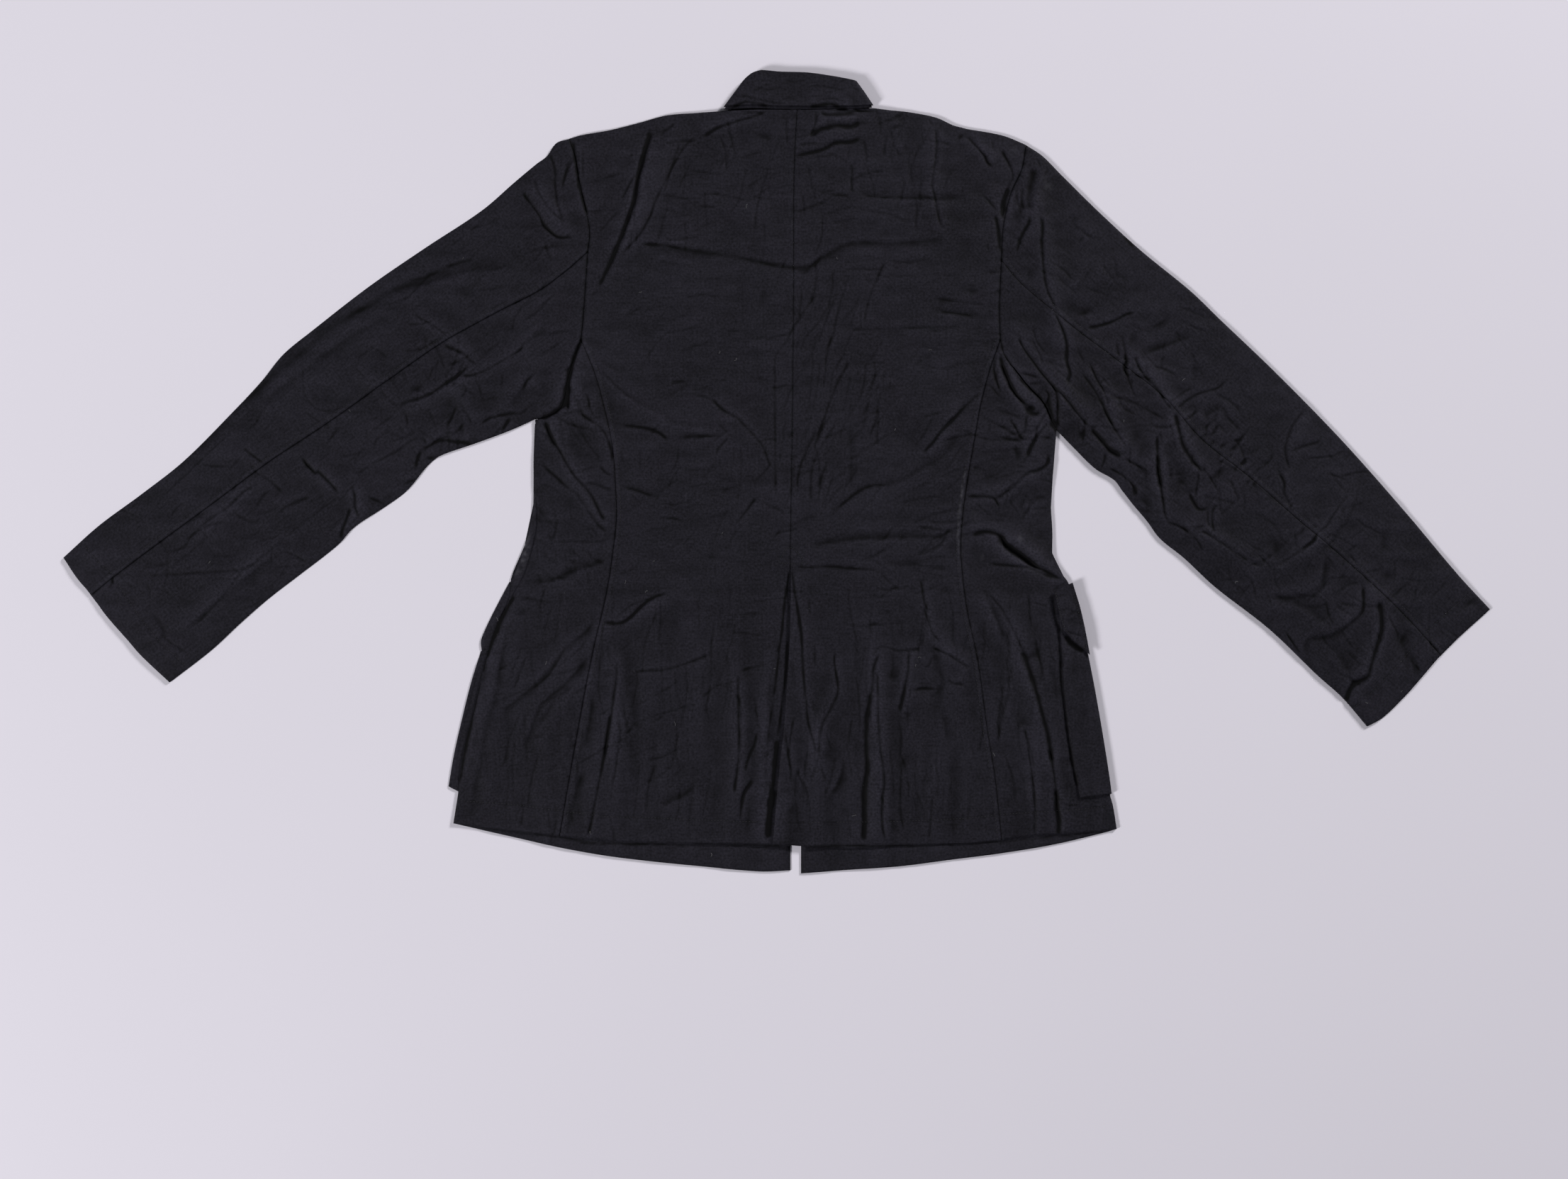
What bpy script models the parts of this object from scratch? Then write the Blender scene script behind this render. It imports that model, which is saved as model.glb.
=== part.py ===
"""Uniform jacket laid flat on its front, back side up, as closed walls of cloth.

The garment lies on the plane z = 0. The tables are in millimetres in that plane: across grows
from the wearer's left cuff to the right one, up grows from the hem to the collar, and both are
counted from the middle of the laid garment. Each sewn piece is one closed wall: a grid of
points on the cloth's outer face, extruded to its inner face. The fronts and the undersides of
the sleeves lie flat on the plane, and the back layer lies on them with its largest folds.
"""
from typing import NamedTuple

import bmesh
import bpy
import numpy as np

MM = 0.001

# Thicknesses and clearances
WALL = 1.2
FOLDED_WALL = 2.0
LAYER_GAP = 0.3
SEAM_GAP = 0.32
INNER_FLOOR = WALL + LAYER_GAP
INNER_CEILING = WALL + 3.7
HIGHEST_FOLD = 8.0

# Height of the back layer over the plane
EDGE_TOP = INNER_FLOOR + WALL + 0.05
LOFT = 1.6
LOFT_REACH = 22.0
FOLD_AT_EDGE = 0.35
FOLD_FADE = 15.0
FRONT_EDGE_LEFT = 13.5
FRONT_EDGE_RIGHT = 24.0
NECK_RISE = 1.75
NECK_RISE_REACH = 26.0

# Turned edges of the sleeves: how far the cloth lies inside the fold's outermost line
NOSE_HEIGHT = INNER_FLOOR - LAYER_GAP / 2.0
NOSE_WALL = 1.3
UPPER_START = 3.0
LOWER_START = 2.0
LOWER_START_INSIDE = 3.0

# Vent in the centre back
VENT_TOP = -95.0
VENT_RAMP = 16.0
UNDERLAP = 18.0
UNDERLAP_START = 30.0
UNDERLAP_RAMP = 22.0
UNDERLAP_TOP = INNER_FLOOR + WALL + 0.05
LAP_FLOOR = UNDERLAP_TOP + 0.4
LAP_RIDGE = 1.5
LAP_ZONE = 44.0
LAP_FADE = 22.0
LAP_LINE_OFFSET = 4.0

# Steps that the pieces on both sides of a seam share
CAP_STEPS = 6
ARMHOLE_STEPS = 4
UNDERARM_STEPS = 4
GUSSET_STEPS = 3
SIDE_ROWS = 24
SEAM_ROWS = 21
VENT_ROWS = 13
BACK_COLUMNS = 12
SLEEVE_ROWS = 30
LOWER_TOP_STEPS = 4
LOWER_UNDER_STEPS = 2
FOREARM_SHARE = 0.8

# Collar: distances from the middle plane of the flattened ring
COLLAR_FALL_OUT = 4.25
COLLAR_FALL_IN = 2.45
COLLAR_STAND_OUT = 1.9
COLLAR_STAND_IN = 0.3
COLLAR_STEPS = 8
COLLAR_FRONT_STEPS = 4

# Edges of the pieces, each a table with the columns across and up

LEFT_ARMHOLE_CAP = [(-205, 329), (-199, 312), (-194, 284), (-187.5, 256), (-184.5, 235), (-186.5, 217)]
LEFT_ARMHOLE_BACK = [(-186.5, 217), (-188.5, 186), (-190.5, 158), (-193, 130.5)]
LEFT_ARMHOLE_UNDER = [(-193, 130.5), (-200, 113), (-204, 100), (-207, 88), (-209, 75), (-212, 64)]
LEFT_GUSSET = [(-212, 64), (-219, 58), (-228, 54), (-238.5, 52)]
LEFT_SLEEVE_OUTER = [
    (-205, 329), (-217.5, 325), (-227, 312), (-237, 304.5), (-258, 287), (-291, 258.5), (-347, 221.5),
    (-403, 183), (-459, 139.5), (-487, 116.5), (-508, 90.5), (-536, 60.5), (-585, 11.5), (-627, -21.5),
    (-669, -52.5), (-704, -84),
]
LEFT_ELBOW = [
    (-186.5, 217), (-207, 199), (-235, 178.5), (-277, 157), (-333, 125.5), (-389, 86.5), (-445, 47),
    (-501, 10), (-557, -31.5), (-613, -72.5), (-655, -104), (-676, -121),
]
LEFT_SLEEVE_INNER = [
    (-238.5, 52), (-263, 41), (-298, 28), (-333, 15.5), (-344, 6.5), (-364.5, -18), (-389, -36),
    (-417, -54.5), (-432, -71), (-473, -103), (-501, -124.5), (-529, -149), (-557, -175), (-599, -207.5),
]
LEFT_CUFF_OUTER = [(-704, -84), (-690, -105), (-676, -121)]
LEFT_CUFF_INNER = [(-676, -121), (-662, -141), (-641, -165), (-627, -181), (-599, -207.5)]

RIGHT_ARMHOLE_CAP = [(246, 323), (241.5, 298.5), (230.5, 274), (223.5, 242.5), (221.5, 209)]
RIGHT_ARMHOLE_BACK = [(221.5, 209), (220.5, 186), (219.5, 158), (220.5, 130.5)]
RIGHT_ARMHOLE_UNDER = [(220.5, 130.5), (224, 116.5), (230.5, 106)]
RIGHT_GUSSET = [(230.5, 106), (241, 92), (251.5, 80), (262, 69), (269, 55), (276, 41.5)]
RIGHT_SLEEVE_OUTER = [
    (246, 323), (262, 312.5), (281, 293.5), (318, 257), (360, 218.5), (409, 178.5), (437, 151.5),
    (493, 98), (557, 32.5), (620, -38.5), (673, -101.5), (704, -135),
]
RIGHT_ELBOW = [
    (221.5, 209), (241, 186), (269, 162), (297, 139.5), (339, 108), (381, 74.5), (419, 32.5),
    (467, -5.5), (512.5, -45.5), (566, -91), (620, -142), (655, -180.5),
]
RIGHT_SLEEVE_INNER = [
    (276, 41.5), (291.5, 25.5), (314, 3.5), (333, -8), (341, -18.5), (351.5, -32), (365, -48),
    (378, -65.5), (402, -85), (432, -113), (486, -155), (533.5, -200.5), (558, -222.5), (582.5, -251),
]
RIGHT_CUFF_OUTER = [(704, -135), (673, -163), (655, -180.5)]
RIGHT_CUFF_INNER = [(655, -180.5), (633, -206.5), (620, -221), (598, -242), (582.5, -251)]

LEFT_SHOULDER = [(-53, 356), (-77.5, 354.5), (-109, 352), (-137, 344.5), (-165, 337.5), (-193, 332.5), (-205, 329)]
LEFT_NECK = [(20, 357), (-7, 357), (-53, 356)]
RIGHT_NECK = [(20, 357), (38, 357), (70, 358), (96, 359)]
RIGHT_SHOULDER = [(96, 359), (112, 357), (129, 355.5), (157, 350), (178, 341), (213, 334.5), (227, 331), (246, 323)]
CENTRE_SEAM = [(20, 357), (17, 298.5), (16.5, 174.5), (15.5, 65.5), (13.5, -74), (13.5, -95)]
VENT_EDGE = [(13.5, -95), (13, -156), (10, -207), (7, -252.5), (3.5, -283.5), (0, -319), (-4, -366.5)]
LEFT_PRINCESS = [
    (-193, 130.5), (-179.5, 97.5), (-170, 63), (-162, 25.5), (-159.5, -5.5), (-158, -43), (-161, -74),
    (-167, -114.5), (-182, -181), (-195, -249), (-208.5, -325.5), (-214, -359),
]
RIGHT_PRINCESS = [
    (220.5, 130.5), (210, 100.5), (201, 66), (196, 38), (187, -15), (183, -46), (181.5, -77.5),
    (184, -109), (188.5, -140), (198.5, -186.5), (207.5, -252.5), (215, -298.5), (222, -363),
]
LEFT_SIDE = [
    (-238.5, 52), (-237, 38), (-239, 11.5), (-238.5, -16.5), (-236, -37.5), (-237, -58.5), (-243, -83),
    (-249, -100.5), (-261, -122.5), (-275.5, -149), (-287, -184.5), (-298, -231.5), (-310, -280.5),
    (-314, -314), (-319, -346.5),
]
RIGHT_SIDE = [
    (276, 41.5), (273, 3.5), (270.5, -28), (272, -58.5), (272.5, -88), (278, -97), (286.5, -107),
    (290, -116), (296.5, -140), (301.8, -164), (305.5, -181), (312, -214.5), (319.5, -257.5),
    (326, -298.5), (328.5, -317), (332, -330), (335.5, -352),
]
LEFT_FRONT_SIDE = [
    (-238.5, 52), (-240, 11.5), (-240, -23.5), (-242, -51.5), (-249, -72.5), (-255, -86.5), (-262, -104),
    (-264, -124), (-274, -149), (-285, -184.5), (-296, -231.5), (-308, -280.5), (-312, -314), (-319, -346.5),
]
LEFT_SIDE_HEM = [(-214, -359), (-258, -354), (-319, -346.5)]
LEFT_BACK_HEM = [(14, -369), (-14, -368.5), (-79, -367), (-146, -364.5), (-214, -359)]
RIGHT_BACK_HEM = [(-4, -366.5), (58, -371), (83.5, -371), (146, -367.5), (189, -366.5), (222, -363)]
RIGHT_SIDE_HEM = [(222, -363), (255.5, -358), (299, -355.5), (335.5, -352)]
LEFT_FRONT_HEM = [
    (FRONT_EDGE_LEFT, -393), (-17, -394), (-79, -388.5), (-124, -384), (-168.5, -378.5), (-213.5, -370.5),
    (-258, -360.5), (-302, -350.5), (-319, -346.5),
]
RIGHT_FRONT_HEM = [
    (FRONT_EDGE_RIGHT, -396), (69.5, -392.5), (120.5, -389), (171.5, -382.5), (222, -376), (273, -367.5),
    (324, -355.5), (335.5, -352),
]
FRONT_NECK_UP = 359.3

COLLAR_FREE_EDGE = [(-48, 360.5), (-25, 361.5), (3, 360.5), (38, 360.2), (73, 360.4), (91, 361.5)]
COLLAR_ROLL = [(-21, 394.5), (-15, 396), (3, 394.5), (31, 393.5), (59, 389.5), (74.5, 386.5)]
COLLAR_LEFT_END = [(-48, 360.5), (-35, 378.5), (-28, 388), (-21, 394.5)]
COLLAR_RIGHT_END = [(91, 361.5), (83, 374), (74.5, 386.5)]

POCKET_RIGHT_INNER = [(274, -122), (277.5, -131), (282.5, -201.5), (286, -245), (291.5, -283.5), (299, -321)]
POCKET_RIGHT_OUTER = [
    (292, -116), (298.5, -140), (303.8, -164), (307.5, -181), (314, -214.5), (321.5, -257.5), (328, -298.5),
    (330.5, -317),
]
FLAP_RIGHT_TOP = [(273, -118), (282, -113), (291.5, -109)]
FLAP_RIGHT_INNER = [(273, -118), (277.5, -135.5), (282.5, -156)]
FLAP_RIGHT_OUTER = [(291.5, -109), (299.5, -135.5), (305, -161), (308.5, -180)]
FLAP_RIGHT_END = [(282.5, -156), (295, -168.5), (308.5, -180)]
POCKET_LEFT_OUTER = [(-292, -176), (-301.5, -207), (-311.5, -247), (-319, -280.5), (-324, -310)]
POCKET_LEFT_BOTTOM = [(-324, -310), (-313, -314.5)]
FLAP_LEFT_OUTER = [(-266.5, -108.5), (-279, -137), (-289, -158), (-292, -167), (-290, -173)]


class Fold(NamedTuple):
    """One lasting fold: three places on its crest, its height there and its half width."""

    start: tuple
    middle: tuple
    end: tuple
    height: float
    width: float


FOLDS = [
    # Left shoulder and left back
    Fold((-102, 333), (-126, 277), (-158, 214), 3.2, 16),
    Fold((-12, 356), (-45, 345), (-77, 334), 1.5, 10),
    Fold((-221, 47), (-205, 8), (-178, -45), 2.6, 12),
    Fold((-196, 60), (-174, 42), (-162, 18), 1.8, 9),
    Fold((-175, 106), (-120, 58), (-53, 44), 2.0, 12),
    Fold((-53, 57), (-29, 43), (-18, 18), 1.5, 11),
    Fold((-148, -143), (-126, -135), (-95, -115), 1.8, 10),
    Fold((-165, -150), (-214, -185), (-249, -227), 2.0, 14),
    Fold((-165, -188), (-214, -227), (-242, -258), 2.0, 14),
    Fold((-157, -187), (-159, -280), (-164, -345), 2.4, 11),
    Fold((-176, -265), (-182, -304), (-182, -355), 1.6, 10),
    Fold((-39, -196), (-37, -276), (-43, -340), 2.2, 10),
    Fold((-9, -185), (-14, -276), (-14, -360), 2.4, 9),
    # Right back and right shoulder
    Fold((27, -164), (31, -237), (48, -304), 1.6, 10),
    Fold((61, -209), (42, -257), (38, -297), 1.8, 9),
    Fold((99, -184), (100, -257), (106, -368), 3.2, 13),
    Fold((131, -173), (126, -203), (121, -232), 1.8, 9),
    Fold((144, -128), (163, -170), (194, -192), 1.8, 10),
    Fold((182, 74), (164, 39), (146, 18), 2.0, 13),
    Fold((38, 333), (59, 342), (84, 344), 2.0, 10),
    Fold((154, 350), (153, 284), (167, 228), 1.8, 11),
    Fold((185, 333), (202, 318), (213, 302), 1.6, 9),
    # Right side panel
    Fold((212, -125), (247, -202), (277, -355), 3.2, 13),
    Fold((199, -121), (209, -143), (220, -164), 1.6, 9),
    Fold((247, -252), (250, -296), (256, -357), 2.0, 9),
    Fold((195, -26), (241, -7), (266, 12), 2.6, 12),
    Fold((199, -62), (234, -76), (276, -100), 3.2, 14),
    Fold((224, 106), (241, 74), (248, 53), 3.0, 12),
    Fold((262, 60), (255, 43), (245, 18), 2.2, 9),
    # Left sleeve
    Fold((-487, -65), (-529, -101), (-578, -148), 2.4, 13),
    Fold((-419, -10), (-413, -34), (-424, -58), 2.6, 11),
    Fold((-452, 3), (-441, -10), (-431, -24), 1.8, 10),
    Fold((-417, 102), (-396, 88), (-375, 64), 1.8, 11),
    Fold((-373, 64), (-300, 92), (-238, 132), 2.6, 14),
    Fold((-326, 86), (-310, 71), (-299, 48), 2.0, 10),
    Fold((-357, 156), (-325, 133), (-294, 106), 2.0, 11),
    Fold((-235, 108), (-256, 84), (-277, 60), 2.2, 15),
    Fold((-239, 295), (-224, 256), (-199, 233), 2.4, 11),
    Fold((-504, -10), (-525, -20), (-564, -55), 1.8, 11),
    # Right sleeve
    Fold((235, 135), (290, 71), (353, 8), 3.2, 14),
    Fold((391, 64), (398, 32), (419, 1), 3.2, 12),
    Fold((375, 39), (377, -3), (384, -48), 2.6, 11),
    Fold((388, -48), (423, -62), (468, -90), 2.6, 12),
    Fold((566, -17), (535, -62), (493, -94), 2.4, 13),
    Fold((580, -104), (573, -136), (528, -157), 2.2, 14),
    Fold((594, -129), (591, -171), (563, -216), 2.8, 13),
    Fold((542, -94), (528, -115), (479, -129), 1.8, 14),
    Fold((253, 302), (251, 249), (238, 218), 2.2, 12),
    Fold((259, 253), (274, 158), (285, 85), 2.6, 13),
    Fold((283, 170), (304, 189), (325, 207), 1.6, 13),
    Fold((314, 95), (332, 60), (346, 18), 2.2, 10),
    Fold((355, 116), (374, 88), (391, 60), 2.6, 11),
    Fold((507, 18), (515, 40), (524, 60), 1.8, 12),
]
CREST_STEPS = 10


class Finish(NamedTuple):
    """Colour and gloss of a cloth."""

    colour: tuple
    roughness: float


TWILL = Finish((0.018, 0.018, 0.022, 1.0), 0.82)
TWILL_FOLDED = Finish((0.021, 0.021, 0.025, 1.0), 0.8)


def smooth_step(low, high, value):
    """Rise smoothly from 0 at low to 1 at high."""
    share = np.clip((value - low) / (high - low), 0.0, 1.0)
    return share * share * (3.0 - 2.0 * share)


def smooth_run(table, per_span=14):
    """Return close points on a smooth curve through a table's places."""
    places = np.array(table, dtype=float)
    if len(places) == 2:
        shares = np.linspace(0.0, 1.0, per_span + 1)[:, None]
        return places[0] + (places[1] - places[0]) * shares
    reach = np.concatenate([[0.0], np.cumsum(np.linalg.norm(np.diff(places, axis=0), axis=1))])
    slopes = np.empty_like(places)
    slopes[1:-1] = (places[2:] - places[:-2]) / (reach[2:] - reach[:-2])[:, None]
    slopes[0] = (places[1] - places[0]) / (reach[1] - reach[0])
    slopes[-1] = (places[-1] - places[-2]) / (reach[-1] - reach[-2])
    run = []
    for index in range(len(places) - 1):
        span = reach[index + 1] - reach[index]
        for share in np.linspace(0.0, 1.0, per_span, endpoint=False):
            cube, square = share ** 3, share ** 2
            run.append(
                places[index] * (2 * cube - 3 * square + 1)
                + slopes[index] * span * (cube - 2 * square + share)
                + places[index + 1] * (3 * square - 2 * cube)
                + slopes[index + 1] * span * (cube - square)
            )
    run.append(places[-1])
    return np.array(run)


def stepped(table, steps):
    """Return steps + 1 places evenly spaced along the curve through a table."""
    run = smooth_run(table)
    reach = np.concatenate([[0.0], np.cumsum(np.linalg.norm(np.diff(run, axis=0), axis=1))])
    wanted = np.linspace(0.0, reach[-1], steps + 1)
    return np.stack([np.interp(wanted, reach, run[:, axis]) for axis in (0, 1)], axis=1)


def border(*stretches):
    """Join stretches, each a table and its steps, into one border."""
    parts = [stepped(table, steps) for table, steps in stretches]
    return np.concatenate([parts[0]] + [part[1:] for part in parts[1:]])


def patch(near, far, start, end):
    """Fill the space between four borders; rows run from start to end, columns from near to far."""
    rows, columns = len(near) - 1, len(start) - 1
    down = np.linspace(0.0, 1.0, rows + 1)[:, None, None]
    over = np.linspace(0.0, 1.0, columns + 1)[None, :, None]
    ruled_over = (1 - over) * near[:, None, :] + over * far[:, None, :]
    ruled_down = (1 - down) * start[None, :, :] + down * end[None, :, :]
    corners = (1 - down) * ((1 - over) * start[0] + over * start[-1])
    corners = corners + down * ((1 - over) * end[0] + over * end[-1])
    return ruled_over + ruled_down - corners


def eased(grid, turns=30):
    """Even out the places inside a patch, whose corner may be nearly straight."""
    for _ in range(turns):
        across = grid[1:-1, :-2] + grid[1:-1, 2:]
        grid[1:-1, 1:-1] = (across + grid[:-2, 1:-1] + grid[2:, 1:-1]) / 4.0
    return grid


def drawn_in(edge, inner, distance):
    """Move a border towards the row of places inside it, square to its own run."""
    run = np.gradient(edge, axis=0)
    square = np.stack([-run[:, 1], run[:, 0]], axis=1)
    square /= np.linalg.norm(square, axis=1)[:, None]
    side = 1.0 if np.sum(square * (inner - edge)) > 0.0 else -1.0
    return edge + square * side * distance


def direction(start, end):
    """Unit step from one place towards another."""
    return (end - start) / np.linalg.norm(end - start)


def inset(grid, near=0.0, far=0.0, start=0.0, end=0.0):
    """Draw in a patch's borders, which leaves the air at its seams."""
    moved = grid.copy()
    moved[:, 0] = drawn_in(grid[:, 0], grid[:, 1], near) if near else moved[:, 0]
    moved[:, -1] = drawn_in(grid[:, -1], grid[:, -2], far) if far else moved[:, -1]
    if start:
        moved[0] += drawn_in(grid[0], grid[1], start) - grid[0]
    if end:
        moved[-1] += drawn_in(grid[-1], grid[-2], end) - grid[-1]
    return moved


HALF_SEAM = SEAM_GAP / 2.0


class Lay:
    """Heights of the back layer of cloth over the plane it lies on."""

    def __init__(self):
        outlines = [
            LEFT_SHOULDER, LEFT_SLEEVE_OUTER, LEFT_CUFF_OUTER, LEFT_CUFF_INNER, LEFT_SLEEVE_INNER,
            LEFT_SIDE, LEFT_SIDE_HEM, LEFT_BACK_HEM, RIGHT_SHOULDER, RIGHT_SLEEVE_OUTER,
            RIGHT_CUFF_OUTER, RIGHT_CUFF_INNER, RIGHT_SLEEVE_INNER, RIGHT_SIDE, RIGHT_SIDE_HEM,
            RIGHT_BACK_HEM,
        ]
        self.rim = np.concatenate([smooth_run(table) for table in outlines])
        self.neck = np.concatenate([smooth_run(LEFT_NECK), smooth_run(RIGHT_NECK)])
        crests, tapers, widths = [], [], []
        shares = np.linspace(0.0, 1.0, CREST_STEPS)
        for fold in FOLDS:
            first, second, third = (np.array(place, dtype=float) for place in fold[:3])
            bend = 2.0 * second - (first + third) / 2.0
            for share in shares:
                crest = (1 - share) ** 2 * first + 2 * share * (1 - share) * bend + share ** 2 * third
                crests.append(crest)
                tapers.append(fold.height * np.sin(np.pi * (0.12 + 0.76 * share)))
                widths.append(fold.width)
        self.crests = np.array(crests).reshape(len(FOLDS), CREST_STEPS, 2)
        self.tapers = np.array(tapers).reshape(len(FOLDS), CREST_STEPS)
        self.widths = np.array(widths).reshape(len(FOLDS), CREST_STEPS)

    def relief(self, place):
        """Sum the folds at a place."""
        away = np.linalg.norm(self.crests - place, axis=2) / self.widths
        return float(np.max(self.tapers * np.exp(-away ** 2), axis=1).sum())

    def top(self, place):
        """Height of the back layer's outer face."""
        inside = float(np.min(np.linalg.norm(self.rim - place, axis=1)))
        fade = FOLD_AT_EDGE + (1.0 - FOLD_AT_EDGE) * (1.0 - np.exp(-inside / FOLD_FADE))
        height = EDGE_TOP + LOFT * (1.0 - np.exp(-inside / LOFT_REACH)) + self.relief(place) * fade
        to_neck = float(np.min(np.linalg.norm(self.neck - place, axis=1)))
        height += NECK_RISE * np.exp(-(to_neck / NECK_RISE_REACH) ** 2)
        return float(np.clip(height, EDGE_TOP, HIGHEST_FOLD))

    def tops(self, grid):
        """Heights of the outer face over a whole grid of places."""
        return np.array([[self.top(place) for place in row] for row in grid])


LAY = Lay()


def beneath(tops):
    """Heights of the cloth's inner face under the given outer face."""
    return np.clip(tops - WALL, INNER_FLOOR, INNER_CEILING)


def raised(grid, heights):
    """Join places and heights into points."""
    heights = np.broadcast_to(np.asarray(heights, dtype=float), grid.shape[:2])
    return np.concatenate([grid, heights[:, :, None]], axis=2)


def dressed(name, mesh, finish):
    """Make the object of a piece and give it its cloth."""
    piece = bpy.data.objects.new(name, mesh)
    bpy.context.scene.collection.objects.link(piece)
    material = bpy.data.materials.new(name + "_cloth")
    material.use_nodes = True
    shader = material.node_tree.nodes["Principled BSDF"]
    shader.inputs["Base Color"].default_value = finish.colour
    shader.inputs["Roughness"].default_value = finish.roughness
    shader.inputs["Metallic"].default_value = 0.0
    mesh.materials.append(material)
    return piece


def wall(name, finish, outer, inner):
    """Make a closed wall of cloth from the points of its outer and its inner face."""
    rows, columns = outer.shape[0] - 1, outer.shape[1] - 1
    work = bmesh.new()
    bmesh.ops.create_grid(work, x_segments=columns, y_segments=rows, size=0.5)
    bmesh.ops.triangulate(work, faces=work.faces[:], quad_method="FIXED")
    grown = bmesh.ops.extrude_face_region(work, geom=work.faces[:], use_keep_orig=True)
    inner_verts = {item for item in grown["geom"] if isinstance(item, bmesh.types.BMVert)}
    for vert in work.verts:
        column = round((vert.co.x + 0.5) * columns)
        row = round((vert.co.y + 0.5) * rows)
        face = inner if vert in inner_verts else outer
        vert.co = [value * MM for value in face[row, column]]
    bmesh.ops.recalc_face_normals(work, faces=work.faces[:])
    mesh = bpy.data.meshes.new(name)
    work.to_mesh(mesh)
    work.free()
    return dressed(name, mesh, finish)


def flat_piece(name, finish, outline, thickness):
    """Make a flat piece from its outline by extruding one face."""
    work = bmesh.new()
    corners = [work.verts.new((across * MM, up * MM, 0.0)) for across, up in outline]
    face = work.faces.new(corners)
    grown = bmesh.ops.extrude_face_region(work, geom=[face], use_keep_orig=True)
    lifted = [item for item in grown["geom"] if isinstance(item, bmesh.types.BMVert)]
    bmesh.ops.translate(work, verts=lifted, vec=(0.0, 0.0, thickness * MM))
    bmesh.ops.recalc_face_normals(work, faces=work.faces[:])
    mesh = bpy.data.meshes.new(name)
    work.to_mesh(mesh)
    work.free()
    return dressed(name, mesh, finish)


def vent_share(up):
    """Share of the way from the closed seam to the open vent."""
    return smooth_step(VENT_TOP + VENT_RAMP / 2.0, VENT_TOP - VENT_RAMP, up) if up < VENT_TOP + VENT_RAMP else 0.0


def centre_border():
    """Places along the centre seam and on down the vent's lapping edge."""
    return border((CENTRE_SEAM, SEAM_ROWS), (VENT_EDGE, VENT_ROWS))


def make_back_left():
    """Make the left back, whose underlap runs on beneath the right one."""
    lap_line = centre_border()
    near = lap_line.copy()
    for place in near:
        start = VENT_TOP - UNDERLAP_START
        place[0] += UNDERLAP * smooth_step(start, start - UNDERLAP_RAMP, place[1])
    far = border((LEFT_ARMHOLE_CAP, CAP_STEPS), (LEFT_ARMHOLE_BACK, ARMHOLE_STEPS), (LEFT_PRINCESS, SIDE_ROWS))
    start = border((LEFT_NECK, BACK_COLUMNS // 3), (LEFT_SHOULDER, BACK_COLUMNS - BACK_COLUMNS // 3))
    end = stepped(LEFT_BACK_HEM, BACK_COLUMNS)
    near[-1] = end[0]
    grid = patch(near, far, start, end)
    grid[1:, 1] = lap_line[1:] - np.array([LAP_LINE_OFFSET, 0.0])
    grid = inset(grid, near=HALF_SEAM, far=HALF_SEAM, start=0.0)
    grid[0, :, 1] -= HALF_SEAM
    tops = LAY.tops(grid)
    for row, place in enumerate(lap_line):
        share = vent_share(place[1])
        for column in (0, 1):
            tops[row, column] += (UNDERLAP_TOP - tops[row, column]) * share
    return wall("back_left", TWILL, raised(grid, tops), raised(grid, beneath(tops)))


def make_back_right():
    """Make the right back, which laps over the left one below the vent's top."""
    lap_line = centre_border()
    far = border((RIGHT_ARMHOLE_CAP, CAP_STEPS), (RIGHT_ARMHOLE_BACK, ARMHOLE_STEPS), (RIGHT_PRINCESS, SIDE_ROWS))
    start = border((RIGHT_NECK, BACK_COLUMNS // 3), (RIGHT_SHOULDER, BACK_COLUMNS - BACK_COLUMNS // 3))
    grid = patch(lap_line, far, start, stepped(RIGHT_BACK_HEM, BACK_COLUMNS))
    grid = inset(grid, near=HALF_SEAM, far=HALF_SEAM)
    grid[0, :, 1] -= HALF_SEAM
    tops = LAY.tops(grid)
    for row, place in enumerate(lap_line):
        share = vent_share(place[1])
        away = grid[row, :, 0] - place[0]
        zone = share * (1.0 - smooth_step(LAP_ZONE, LAP_ZONE + LAP_FADE, away))
        ridge = LAP_RIDGE * np.exp(-(away / LAP_FADE) ** 2)
        wanted = np.maximum(tops[row], LAP_FLOOR + WALL + ridge)
        tops[row] += (wanted - tops[row]) * zone
    tops = np.minimum(tops, HIGHEST_FOLD)
    return wall("back_right", TWILL, raised(grid, tops), raised(grid, beneath(tops)))


def make_side(name, princess, side, armhole, gusset, side_hem):
    """Make a side panel from the armhole down between its princess seam and its side."""
    near = stepped(princess, SIDE_ROWS)
    far = stepped(side, SIDE_ROWS)
    start = border((armhole, UNDERARM_STEPS), (gusset, GUSSET_STEPS))
    end = stepped(side_hem, UNDERARM_STEPS + GUSSET_STEPS)
    grid = inset(patch(near, far, start, end), near=HALF_SEAM, start=HALF_SEAM)
    tops = LAY.tops(grid)
    return wall(name, TWILL, raised(grid, tops), raised(grid, beneath(tops)))


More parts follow.
